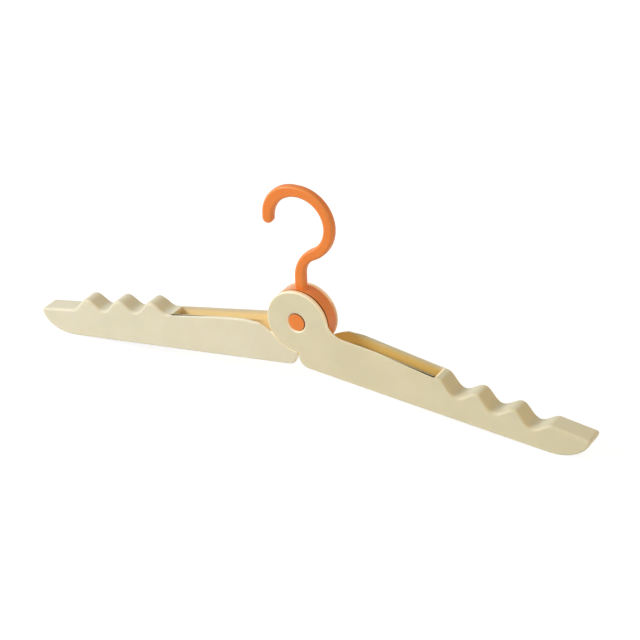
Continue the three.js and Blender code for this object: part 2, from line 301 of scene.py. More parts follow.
class Nodes:
    """Adds nodes to a tree and joins them."""

    def __init__(self, tree: bpy.types.NodeTree) -> None:
        """Keeps the tree of a material, a group or the world."""
        self.tree = tree

    def add(self, kind: str, inputs: dict | None = None, **settings: object) -> bpy.types.Node:
        """Adds a node.

        Args:
            kind: Node type, without "ShaderNode".
            inputs: Values or output sockets by input name or number.
            **settings: Properties of the node.

        Returns:
            The new node.
        """
        node = self.tree.nodes.new("ShaderNode" + kind)
        for key, value in settings.items():
            setattr(node, key, value)
        for key, value in (inputs or {}).items():
            self.set(node, key, value)
        return node

    def set(self, node: bpy.types.Node, key: str | int, value: object) -> None:
        """Sets an input to a value, or joins an output to it.

        Args:
            node: Node that has the input.
            key: Input's name or number.
            value: Value, or output socket.
        """
        if isinstance(value, Socket):
            self.tree.links.new(value, node.inputs[key])
        else:
            node.inputs[key].default_value = value

    def math(self, operation: str, *values: object) -> Socket:
        """Adds a Math node with these inputs and gives its output."""
        return self.add("Math", dict(enumerate(values)), operation=operation).outputs[0]

    def product(self, first: object, *others: object) -> Socket:
        """Multiplies values.

        Args:
            first: The first value.
            *others: The others.

        Returns:
            Their product.
        """
        for other in others:
            first = self.math("MULTIPLY", first, other)
        return first

    def ramp(self, value: object, start: float, end: float) -> Socket:
        """Smooth step of a value, from 0 at start to 1 at end."""
        inputs = {"Value": value, "From Min": start, "From Max": end}
        return self.add("MapRange", inputs, interpolation_type="SMOOTHSTEP").outputs["Result"]

    def blend(self, share: object, first: object, second: object) -> Socket:
        """Mixes two colours.

        Args:
            share: Share of the second.
            first: First colour.
            second: Second colour.

        Returns:
            The mixed colour.
        """
        node = self.add("Mix", data_type="RGBA")
        for key, value in ((0, share), (6, first), (7, second)):
            self.set(node, key, opaque(value) if isinstance(value, tuple) else value)
        return node.outputs[2]

    def remap(self, value: Socket, source: tuple[float, float], target: tuple[float, float]) -> Socket:
        """Maps a place evenly to a value, and keeps that inside its range.

        Args:
            value: The place, in metres.
            source: The places that are mapped, in millimetres.
            target: The values that they give.

        Returns:
            The value.
        """
        keys = ("Value", "From Min", "From Max", "To Min", "To Max")
        inputs = dict(zip(keys, (value, source[0] * MM, source[1] * MM, *target)))
        return self.add("MapRange", inputs).outputs["Result"]

    def parts(self, source: str) -> bpy.types.Node:
        """Parts a point's place (Object) or the way it faces (Normal) into X, Y and Z."""
        return self.add("SeparateXYZ", {0: self.add("TexCoord").outputs[source]})


@dataclass(frozen=True)
class Fade:
    """A soft border: a smooth step over a distance in millimetres, counted from a named place.

    Attributes:
        zero: Where it is 0.
        one: Where it is 1.
    """

    zero: float
    one: float

    def at(self, value: np.ndarray, origin: float = 0.0) -> np.ndarray:
        """The border at values, counted from the origin."""
        return smooth((value - origin - self.zero) / (self.one - self.zero))

    def over(self, nodes: Nodes, value: Socket, origin: float = 0.0, unit: float = MM) -> Socket:
        """Makes a mask of the border, for a place in metres (unit MM) or a direction (unit 1)."""
        return nodes.ramp(value, (origin + self.zero) * unit, (origin + self.one) * unit)


@dataclass(frozen=True)
class Strip:
    """A strip with two soft borders, in millimetres from a named place.

    Attributes:
        start: Where it starts to come in.
        full: Where it is full.
        leave: Where it starts to go.
        gone: Where it is gone.
    """

    start: float
    full: float
    leave: float
    gone: float

    def over(self, nodes: Nodes, value: Socket, origin: float) -> Socket:
        """Makes a mask of the strip over a place in metres, counted from the origin."""
        borders = Fade(self.start, self.full), Fade(self.gone, self.leave)
        return nodes.product(*(border.over(nodes, value, origin) for border in borders))


def new_group(
    name: str, inputs: dict[str, float], outputs: Sequence[str]
) -> tuple[Nodes, bpy.types.Node, bpy.types.Node]:
    """Starts a shader node group.

    Args:
        name: Name of the group.
        inputs: Name and first value of each input.
        outputs: Names of the outputs.

    Returns:
        The group's nodes, its input node and its output node.
    """
    tree = bpy.data.node_groups.new(name, "ShaderNodeTree")
    for label, value in inputs.items():
        socket = tree.interface.new_socket(name=label, in_out="INPUT", socket_type="NodeSocketFloat")
        socket.default_value = value
    for label in outputs:
        tree.interface.new_socket(name=label, in_out="OUTPUT", socket_type="NodeSocketFloat")
    return Nodes(tree), tree.nodes.new("NodeGroupInput"), tree.nodes.new("NodeGroupOutput")


def moulded_skin_group() -> bpy.types.NodeTree:
    """Skin of a moulded plastic piece.

    Returns:
        Group that puts out Mottle, broad cloudy shade from how the plastic
        flowed, Grain, the fine texture that the mould leaves, and Rub, thin
        patches where handling has polished it, each from 0 to 1.
    """
    nodes, given, out = new_group(
        "moulded skin",
        {"Mottle scale": 60.0, "Grain scale": 2600.0, "Rub scale": 120.0},
        ["Mottle", "Grain", "Rub"],
    )
    place = nodes.add("TexCoord").outputs["Object"]
    for name, detail, roughness, low, high in (
        ("Mottle", 2.0, 0.5, 0.3, 0.7),
        ("Grain", 3.0, 0.6, 0.25, 0.75),
        ("Rub", 5.0, 0.65, 0.52, 0.72),
    ):
        settings = {"Scale": given.outputs[name + " scale"], "Detail": detail, "Roughness": roughness}
        noise = nodes.add("TexNoise", {"Vector": place, **settings})
        nodes.set(out, name, nodes.ramp(noise.outputs["Fac"], low, high))
    return nodes.tree


def painted_edge_highlight_group() -> bpy.types.NodeTree:
    """Where a painted highlight lies on the rounded edges of a flat moulding, lighter than its faces.

    The faces look along Y or square to it, so the size of the direction's Y
    says how far round an edge a point is: 0 on the top and 1 on the side. The
    highlight comes in from Start to Full and goes from Leave to Gone. It fades on
    edges that look down, away from the light above, between two values of the direction's Z.

    Returns:
        Group that puts out Edge, from 0 to 1.
    """
    nodes, given, out = new_group(
        "rounded edge",
        {
            "Amount": 1.0, "Start": 0.2, "Full": 0.5, "Leave": 0.85, "Gone": 0.98,
            "Dark below": -0.68, "Full above": -0.5,
        },
        ["Edge"],
    )
    facing = nodes.parts("Normal")
    across = nodes.math("ABSOLUTE", facing.outputs["Y"])
    comes = nodes.ramp(across, given.outputs["Start"], given.outputs["Full"])
    goes = nodes.ramp(across, given.outputs["Gone"], given.outputs["Leave"])
    above = nodes.ramp(facing.outputs["Z"], given.outputs["Dark below"], given.outputs["Full above"])
    nodes.set(out, "Edge", nodes.product(comes, goes, above, given.outputs["Amount"]))
    return nodes.tree


@dataclass(frozen=True)
class Effects:
    """Node groups that the plastics share.

    Attributes:
        skin: Group of moulded_skin_group.
        edge: Group of painted_edge_highlight_group.
    """

    skin: bpy.types.NodeTree
    edge: bpy.types.NodeTree


@dataclass(frozen=True)
class MouldedPlastic:
    """Satin moulded plastic.

    Attributes:
        name: Name of the material.
        colour: Colour of the plastic, in linear light.
        deep: Colour where the mottling is deepest.
        pale: Colour of the painted highlight on the rounded edges.
        edge_amount: Share of that colour.
        edge_range: How far round an edge that colour starts, is full, starts to leave and is gone.
        roughness: Roughness of the satin skin.
        shine: Strength of the skin's reflections.
        polish: How much smoother the rubbed patches are.
        grain: Height of the mould's texture, in metres.
        grain_strength: Strength of its shading.
        glow: Share of light that enters the plastic and leaves nearby.
        glow_reach: How far that light goes, in metres.
        glow_hue: How far red, green and blue go for their share.
    """

    name: str
    colour: Colour
    deep: Colour
    pale: Colour
    edge_amount: float = 0.7
    edge_range: tuple[float, float, float, float] = (0.2, 0.5, 0.85, 0.98)
    roughness: float = 0.4
    shine: float = 0.35
    polish: float = 0.06
    grain: float = 0.00001
    grain_strength: float = 0.35
    glow: float = 0.3
    glow_reach: float = 0.003
    glow_hue: Colour = (1.0, 0.7, 0.4)

    def start(self, effects: Effects) -> tuple[bpy.types.Material, Nodes, Socket]:
        """Makes the material with its skin and the painted highlight on its edges, before any mask of a
        piece.

        Args:
            effects: Node groups that the plastics share.

        Returns:
            The material, its nodes and its colour.
        """
        material = bpy.data.materials.new(self.name)
        material.use_nodes = True
        nodes = Nodes(material.node_tree)
        shader = material.node_tree.nodes["Principled BSDF"]
        for key, value in (
            ("Subsurface Weight", self.glow), ("Subsurface Scale", self.glow_reach),
            ("Subsurface Radius", self.glow_hue), ("Specular IOR Level", self.shine),
        ):
            nodes.set(shader, key, value)
        surface = nodes.tree.nodes.new("ShaderNodeGroup")
        surface.node_tree = effects.skin
        edge = nodes.tree.nodes.new("ShaderNodeGroup")
        edge.node_tree = effects.edge
        edge.inputs["Amount"].default_value = self.edge_amount
        for key, value in zip(("Start", "Full", "Leave", "Gone"), self.edge_range):
            edge.inputs[key].default_value = value
        edge.name = "edge"
        polished = nodes.math("MULTIPLY", surface.outputs["Rub"], self.polish)
        nodes.set(shader, "Roughness", nodes.math("SUBTRACT", self.roughness, polished))
        height = {"Height": surface.outputs["Grain"], "Strength": self.grain_strength, "Distance": self.grain}
        nodes.set(shader, "Normal", nodes.add("Bump", height).outputs["Normal"])
        colour = nodes.blend(surface.outputs["Mottle"], self.deep, self.colour)
        # Painted highlight: the rounded edges blend towards the pale colour.
        colour = nodes.blend(edge.outputs["Edge"], colour, self.pale)
        nodes.set(shader, "Base Color", colour)
        return material, nodes, colour


def pin_distance(nodes: Nodes, place: bpy.types.Node) -> Socket:
    """Distance of a point from the hinge's axis.

    Args:
        nodes: Nodes of the material.
        place: Node that parts the point's place into X, Y and Z.

    Returns:
        The distance, in metres.
    """
    x = place.outputs["X"]
    z = nodes.math("SUBTRACT", place.outputs["Z"], float(pin_middle()[2]))
    return nodes.math("SQRT", nodes.math("ADD", nodes.math("MULTIPLY", x, x), nodes.math("MULTIPLY", z, z)))


@dataclass(frozen=True)
class HookPlastic(MouldedPlastic):
    """The hook's plastic, with painted shade down in the groove beside the hub's rim and a painted highlight
    on the rim.

    Attributes:
        rim_radius: Radius of the hub's rim.
        groove_side: How far the front groove's inner side is from the middle plane.
        head_radius: Radius of the pin's head, whose side is dark in its recess.
        head_seat: How far the bottom of that recess is from the middle plane.
        painted_groove_shade: Colour of the painted shade down in the front groove and beside the pin's head,
            in linear light.
        painted_rim_highlight: Colour of the painted highlight on the rim where it looks left towards the key
            light, beside the light ear.
        rim_share: Share of that colour.
        groove: The groove's painted shade, from the rim's radius.
        groove_wall: It lies in front of the groove's inner side.
        head: The painted shade of the head's side, from the head's radius.
        head_side: It lies outside the recess's bottom.
        rim: The rim's painted highlight, from its radius.
        leftward: How far left a face looks that has this painted highlight, by the X of its direction.
    """

    rim_radius: float = 22.2
    groove_side: float = 4.2
    head_radius: float = 6.05
    head_seat: float = 7.0
    painted_groove_shade: Colour = (0.24, 0.06, 0.015)
    painted_rim_highlight: Colour = (0.95, 0.6, 0.4)
    rim_share: float = 0.75
    groove: Strip = Strip(-4.0, -3.0, -0.5, -0.2)
    groove_wall: Fade = Fade(-0.15, 0.0)
    head: Strip = Strip(-0.35, -0.1, 0.3, 0.6)
    head_side: Fade = Fade(-0.4, 0.0)
    rim: Strip = Strip(-0.4, -0.1, 0.2, 0.5)
    leftward: Fade = Fade(-0.05, -0.5)

    def material(self, effects: Effects) -> bpy.types.Material:
        """Makes the finished material.

        It gets painted shade under the rim's radius and in front of the groove's inner side,
        and on the side of the pin's head, and a painted highlight on the rim where it looks left.

        Args:
            effects: Node groups that the plastics share.

        Returns:
            The material.
        """
        material, nodes, colour = self.start(effects)
        place = nodes.parts("Object")
        radius = pin_distance(nodes, place)
        front = nodes.math("MULTIPLY", place.outputs["Y"], -1.0)
        groove = nodes.product(
            self.groove.over(nodes, radius, self.rim_radius),
            self.groove_wall.over(nodes, front, self.groove_side),
        )
        head = nodes.product(
            self.head.over(nodes, radius, self.head_radius),
            self.head_side.over(nodes, nodes.math("ABSOLUTE", place.outputs["Y"]), self.head_seat),
        )
        light = nodes.product(
            self.rim.over(nodes, radius, self.rim_radius),
            self.leftward.over(nodes, nodes.parts("Normal").outputs["X"], unit=1),
            self.rim_share,
        )
        # Painted shade in the groove and on the head's side, and a painted highlight on the rim.
        dark = nodes.math("MAXIMUM", groove, head)
        colour = nodes.blend(dark, nodes.blend(light, colour, self.painted_rim_highlight), self.painted_groove_shade)
        nodes.set(material.node_tree.nodes["Principled BSDF"], "Base Color", colour)
        return material


@dataclass(frozen=True)
class Lean:
    """How an arm's front wall leans in towards its top edge, as its mould's draft makes it do.

    Attributes:
        most: How far it leans in at the top edge.
        depth: Depth under the top edge from which it leans.
        share: How the lean grows along the arm.
    """

    most: float = 2.3
    depth: float = 26.0
    share: Fade = Fade(24.0, 60.0)

    def at(self, along: np.ndarray, depth: np.ndarray) -> np.ndarray:
        """How far the wall leans in at places along the arm and depths under its top edge."""
        return self.most * np.maximum(1 - depth / self.depth, 0) * self.share.at(along)

    def undone(self, nodes: Nodes, across: Socket, along: Socket, depth: Socket) -> Socket:
        """Takes the lean out of a point's place across the arm.

        Args:
            nodes: Nodes of the material.
            across: The point's place across the arm.
            along: Its place along the arm.
            depth: Its depth, as in ArmSpot.

        Returns:
            Its distance from the middle plane before the wall leaned.
        """
        upper = nodes.math("SUBTRACT", 1.0, nodes.math("DIVIDE", depth, self.depth * MM))
        lean = nodes.product(upper, self.share.over(nodes, along), self.most * MM)
        front = nodes.math("LESS_THAN", across, 0.0)
        return nodes.math("ADD", nodes.math("ABSOLUTE", across), nodes.math("MULTIPLY", lean, front))


@dataclass(frozen=True)
class ArmSpot:
    """Where a point of an arm is: outputs of nodes, in metres.

    Attributes:
        x: Its distance from the middle between the arms.
        y: Its place across the arm, below zero at the front.
        z: Its height over the pin.
        along: Its place along the arm.
        depth: Its depth under the height of the pin, square to the arm's top edge.
        beside: Its distance from the middle plane before the front wall leaned.
        radius: Its distance from the hinge's axis.
    """

    x: Socket
    y: Socket
    z: Socket
    along: Socket
    depth: Socket
    beside: Socket
    radius: Socket


@dataclass(frozen=True)
class ArmPlastic(MouldedPlastic):
    """The arms' plastic, with a painted golden glow and painted shade down inside the channel.

    Attributes:
        slope: Fall of the arms' top edge, in degrees.
        lean: How the front walls lean.
        inner_face: How far the walls' inner faces are from the middle plane.
        outer_face: How far the arms' outer faces are from it.
        ear_side: How far the ears' inner faces are from it.
        ear_radius: Radius of the hinge's ears.
        recess_radius: Radius of the recess round the pin's head.
        channel_end: How far along an arm its channel reaches.
        wave_end: How far along an arm its waves reach.
        shade_depth: Depth at which the painted shade inside starts.
        deep_shade: Share of that painted shade along the channel.
        end_shade: Share of it at the channel's end.
        rim_share: Share of the painted highlight on the rim at the top of the channel's end.
        wave_amount: Share of the edges' painted highlight on the waves.
        tip_amount: Share of the edges' painted highlight at the tip.
        flank_share: Share of the flanks' painted shade.
        ear_edge_range: Where round the ears' edges their painted highlight starts to leave and is gone.
        inside: Colour of the inside, painted golden for the light that bounces between the walls and comes
            through them, in linear light.
        shade: Colour of the painted shade inside.
        painted_hub_reflection: Colour of the painted orange reflection that the hub throws on the ears beside
            it.
        painted_flank_shade: Colour of the painted shade on the waves' flanks that look right, away from the
            key light.
        painted_heel_light: Painted light on the heels' facing sides: a cool colour, because only warm light
            reaches them, that with their painted glow makes the shaded gap look light.
        painted_channel_glow: Painted glow for light that comes through the walls into the channel.
        gap_shine: Painted glow for light that comes through where the arms face each other closely.
        heel_shine: Painted glow for light that comes through between the arms' heels.
        ear_shine: Painted glow for light that comes through the ears' edges beside the hub.
        recess_shine: Painted glow for light that comes through the wall of the recess round the pin's head.
        edge_shine: Painted glow for light that comes through the ears' rounded edges.
        rim_shine: Painted glow for light that comes through the rim at the channel's end.
        wall_side: The inside ends past the walls' inner faces.
        channel_stop: It ends past the channel's end.
        channel_top: It comes in under the pin's height, square to the top edge.
        end_wall: The painted glow reaches up to the thick plastic at the channel's end.
        shade_edge: The painted shade comes in under its depth.
        end_near: The end's painted shade comes in towards the channel's end.
        end_depth: It comes in under the top.
        shade_start: All of the painted shade comes in away from the pin.
        gap: The gap round the ear, from the ear's radius.
        hidden_side: What is hidden lies inside the outer faces.
        heel_top: The heels start under the ear.
        heel_gap: They are painted light up to this distance from the middle.
        rim: The rim at the channel's end.
        rim_depth: It lies near the top.
        ear_round: The ear's round side, from its radius.
        ear_face: The lit strip of the ear's inner side, from its radius.
        ear_inner: That side, from its face outwards.
        ear_low: Both get their painted glow from this height over the pin.
        hub_light: The hub's painted orange reflection reaches this far, from the ear's inner face.
        recess_wall: The recess ends past its radius.
        recess_side: It lies outside the walls' inner faces.
        lit_ear: The edges by the ear get painted glow up to here, from the ear's radius.
        lit_top: The channel's front edge gets painted glow down to here.
        waves_in: The waves start, from the channel's end.
        waves_out: They stop, from their end.
        rightward: How far right a flank looks that has its painted shade, by the X of its direction.
        to_waves: Length over which the edges' painted highlight changes after the channel.
        to_tip: Length over which it changes before the waves' end.
        ear_to_arm: Distances from the pin over which the ears' edges turn into the arms'.
    """

    slope: float = 10.1
    lean: Lean = Lean()
    inner_face: float = 7.0
    outer_face: float = 9.0
    ear_side: float = 5.8
    ear_radius: float = 22.2
    recess_radius: float = 6.6
    channel_end: float = 102.3
    wave_end: float = 186.2
    shade_depth: float = 7.0
    deep_shade: float = 0.6
    end_shade: float = 0.2
    rim_share: float = 1.0
    wave_amount: float = 0.15
    tip_amount: float = 0.15
    flank_share: float = 0.5
    ear_edge_range: tuple[float, float] = (0.85, 0.98)
    inside: Colour = (0.74, 0.58, 0.29)
    shade: Colour = (0.42, 0.27, 0.08)
    painted_hub_reflection: Colour = (0.9, 0.6, 0.36)
    painted_flank_shade: Colour = (0.73, 0.58, 0.32)
    painted_heel_light: Colour = (0.6, 0.72, 0.9)
    painted_channel_glow: Colour = (0.07, 0.05, 0.015)
    gap_shine: Colour = (0.34, 0.3, 0.22)
    heel_shine: Colour = (0.4, 0.38, 0.3)
    ear_shine: Colour = (0.22, 0.14, 0.08)
    recess_shine: Colour = (0.4, 0.28, 0.18)
    edge_shine: Colour = (0.16, 0.14, 0.1)
    rim_shine: Colour = (0.25, 0.2, 0.09)
    wall_side: Fade = Fade(0.35, 0.1)
    channel_stop: Fade = Fade(1.0, 0.0)
    channel_top: Fade = Fade(0.3, 4.0)
    end_wall: Fade = Fade(0.0, -2.5)
    shade_edge: Fade = Fade(0.0, 1.4)
    end_near: Fade = Fade(-7.0, -0.5)
    end_depth: Fade = Fade(0.5, 5.0)
    shade_start: Fade = Fade(32.0, 46.0)
    gap: Strip = Strip(0.1, 0.3, 0.7, 1.0)
    hidden_side: Fade = Fade(-0.05, -0.3)
    heel_top: Fade = Fade(-0.4, -1.2)
    heel_gap: Fade = Fade(6.0, 5.0)
    rim: Strip = Strip(-0.8, -0.4, 0.0, 0.9)
    rim_depth: Fade = Fade(1.0, 0.6)
    ear_round: Strip = Strip(-0.5, -0.2, 0.1, 0.4)
    ear_face: Strip = Strip(-3.5, -2.5, 0.1, 0.4)
    ear_inner: Fade = Fade(1.9, 1.6)
    ear_low: Fade = Fade(-16.0, -8.0)
    hub_light: Fade = Fade(2.4, 0.0)
    recess_wall: Fade = Fade(0.45, 0.3)
    recess_side: Fade = Fade(0.0, 0.3)
    lit_ear: Fade = Fade(1.5, 0.5)
    lit_top: Fade = Fade(3.0, 2.0)
    waves_in: Fade = Fade(1.0, 3.0)
    waves_out: Fade = Fade(2.0, -1.0)
    rightward: Fade = Fade(0.2, 0.6)
    to_waves: float = 5.0
    to_tip: float = 4.0
    ear_to_arm: tuple[float, float] = (24.0, 32.0)

    def spot(self, nodes: Nodes) -> ArmSpot:
        """Places a point along the arm, across it and round the pin.

        Its place along the arm is |x| cos s - z sin s and its depth is
        -|x| sin s - z cos s, where s is the slope and x and z are measured
        from the pin.

        Args:
            nodes: Nodes of the material.

        Returns:
            The point's place.
        """
        sin, cos = math.sin(math.radians(self.slope)), math.cos(math.radians(self.slope))
        place = nodes.parts("Object")
        x = nodes.math("ABSOLUTE", place.outputs["X"])
        y = place.outputs["Y"]
        z = nodes.math("SUBTRACT", place.outputs["Z"], float(pin_middle()[2]))
        along = nodes.math("SUBTRACT", nodes.math("MULTIPLY", x, cos), nodes.math("MULTIPLY", z, sin))
        height = nodes.math("ADD", nodes.math("MULTIPLY", x, sin), nodes.math("MULTIPLY", z, cos))
        depth = nodes.math("MULTIPLY", height, -1.0)
        beside = self.lean.undone(nodes, y, along, depth)
        return ArmSpot(x, y, z, along, depth, beside, pin_distance(nodes, place))

    def channel_masks(self, nodes: Nodes, spot: ArmSpot) -> dict[str, Socket]:
        """Where the channel, its painted glow and shade, the rim's painted highlight and the flanks' painted
        shade are.

        Args:
            nodes: Nodes of the material.
            spot: The point's place.

        Returns:
            Masks from 0 to 1 by name.
        """
        within = self.wall_side.over(nodes, spot.beside, self.inner_face)
        before = self.channel_stop.over(nodes, spot.along, self.channel_end)
        channel = nodes.product(within, before, self.channel_top.over(nodes, spot.depth))
        # Painted shade deep in the channel and at its end, coming in away from the pin.
        deep = nodes.product(self.shade_edge.over(nodes, spot.depth, self.shade_depth), self.deep_shade)
        near_end = self.end_near.over(nodes, spot.along, self.channel_end)
        end = nodes.product(near_end, self.end_depth.over(nodes, spot.depth), self.end_shade)
        away = self.shade_start.over(nodes, spot.radius)
        dark = nodes.product(nodes.math("MAXIMUM", deep, end), channel, away)
        # Painted glow through the thin plastic, and a painted highlight on the rim at the channel's end.
        thin = self.end_wall.over(nodes, spot.along, self.channel_end)
        on_rim = self.rim.over(nodes, spot.along, self.channel_end)
        rim = nodes.product(on_rim, within, self.rim_depth.over(nodes, spot.depth), self.rim_share)
        # Painted shade on the flanks that look right, away from the key light.
        flank = nodes.product(
            self.waves_in.over(nodes, spot.along, self.channel_end),
            self.waves_out.over(nodes, spot.along, self.wave_end),
            self.rightward.over(nodes, nodes.parts("Normal").outputs["X"], unit=1),
            self.flank_share,
        )
        lit = nodes.product(channel, thin, nodes.math("SUBTRACT", 1.0, dark))
        return {"channel": channel, "dark": dark, "lit": lit, "rim": rim, "flank": flank}

    def hinge_masks(self, nodes: Nodes, spot: ArmSpot) -> dict[str, Socket]:
        """Where the gap round the ear, the heels, the ear's sides by the hub and the pin's recess get painted
        light.

        Args:
            nodes: Nodes of the material.
            spot: The point's place.

        Returns:
            Masks from 0 to 1 by name.
        """
        hidden = self.hidden_side.over(nodes, spot.beside, self.outer_face)
        # Painted glow in the gap round the ear.
        gap = nodes.product(self.gap.over(nodes, spot.radius, self.ear_radius), hidden)
        # Painted light on the heels' facing sides.
        heels = nodes.product(
            self.heel_gap.over(nodes, spot.x),
            self.heel_top.over(nodes, spot.z, -self.ear_radius),
            nodes.ramp(spot.beside, self.outer_face * MM, self.ear_side * MM),
        )
        inner_side = nodes.product(
            self.ear_face.over(nodes, spot.radius, self.ear_radius),
            self.ear_inner.over(nodes, spot.beside, self.ear_side),
        )
        side = nodes.math("MAXIMUM", self.ear_round.over(nodes, spot.radius, self.ear_radius), inner_side)
        on_rim = nodes.product(side, self.ear_low.over(nodes, spot.z), hidden)
        # Painted orange reflection of the hub on the ear's sides.
        painted_hub_reflection = nodes.product(on_rim, self.hub_light.over(nodes, spot.beside, self.ear_side))
        # Painted highlight and glow on the recess's wall.
        recess = nodes.product(
            self.recess_wall.over(nodes, spot.radius, self.recess_radius),
            self.recess_side.over(nodes, spot.beside, self.inner_face),
        )
        return {"gap": gap, "heels": heels, "on rim": on_rim, "by hub": painted_hub_reflection, "recess": recess}

    def lit_edges(self, nodes: Nodes, spot: ArmSpot) -> Socket:
        """Where the rounded edges get painted glow: by the ear and along the channel's front.

        Args:
            nodes: Nodes of the material.
            spot: The point's place.

        Returns:
            A mask from 0 to 1.
        """
        front = nodes.product(
            self.channel_stop.over(nodes, spot.along, self.channel_end),
            nodes.math("LESS_THAN", spot.y, 0.0),
            self.lit_top.over(nodes, spot.depth),
        )
        return nodes.math("MAXIMUM", self.lit_ear.over(nodes, spot.radius, self.ear_radius), front)

    def set_edges(self, nodes: Nodes, spot: ArmSpot) -> None:
        """Joins the edge group's inputs that differ from place to place on the arm.

        Args:
            nodes: Nodes of the material.
            spot: The point's place.
        """
        edge = nodes.tree.nodes["edge"]
        by_waves = (self.channel_end, self.channel_end + self.to_waves)
        by_tip = (self.wave_end - self.to_tip, self.wave_end)
        on_waves = nodes.remap(spot.along, by_waves, (self.edge_amount, self.wave_amount))
        at_tip = nodes.remap(spot.along, by_tip, (0.0, self.tip_amount - self.wave_amount))
        nodes.set(edge, "Amount", nodes.math("ADD", on_waves, at_tip))
        for key, ear, arm in zip(("Leave", "Gone"), self.ear_edge_range, self.edge_range[2:]):
            nodes.set(edge, key, nodes.remap(spot.radius, self.ear_to_arm, (ear, arm)))

    def material(self, effects: Effects) -> bpy.types.Material:
        """Makes the finished material from the masks, with painted light and shade in its colour and painted
        glow as emission.

        Args:
            effects: Node groups that the plastics share.

        Returns:
            The material.
        """
        material, nodes, colour = self.start(effects)
        spot = self.spot(nodes)
        self.set_edges(nodes, spot)
        masks = self.channel_masks(nodes, spot) | self.hinge_masks(nodes, spot)
        edge = nodes.tree.nodes["edge"].outputs["Edge"]
        masks["lit edges"] = nodes.product(edge, self.lit_edges(nodes, spot))
        # Painted light and shade in the base colour: golden inside, shade, highlights on rim and recess, the
        # hub's reflection, flank shade, the heels' light.
        for mask, paint in (
            ("channel", self.inside), ("dark", self.shade), ("rim", self.pale), ("by hub", self.painted_hub_reflection),
            ("recess", self.pale), ("flank", self.painted_flank_shade), ("heels", self.painted_heel_light),
        ):
            colour = nodes.blend(masks[mask], colour, paint)
        # Painted glow, given as emission.
        light = BLACK
        for mask, paint in (
            ("lit", self.painted_channel_glow), ("gap", self.gap_shine), ("heels", self.heel_shine),
            ("rim", self.rim_shine), ("on rim", self.ear_shine), ("recess", self.recess_shine),
            ("lit edges", self.edge_shine),
        ):
            light = nodes.blend(masks[mask], light, paint)
        shader = nodes.tree.nodes["Principled BSDF"]
        for key, value in (("Base Color", colour), ("Emission Color", light), ("Emission Strength", 1.0)):
            nodes.set(shader, key, value)
        return material


# Pieces


def pin_middle() -> np.ndarray:
    """Middle of the hinge, from the box of the CAD pin, in metres."""
    low, high = (np.array(v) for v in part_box("pivot_pin"))
    return np.array([0.0, 0.0, (low[2] + high[2]) / 2])


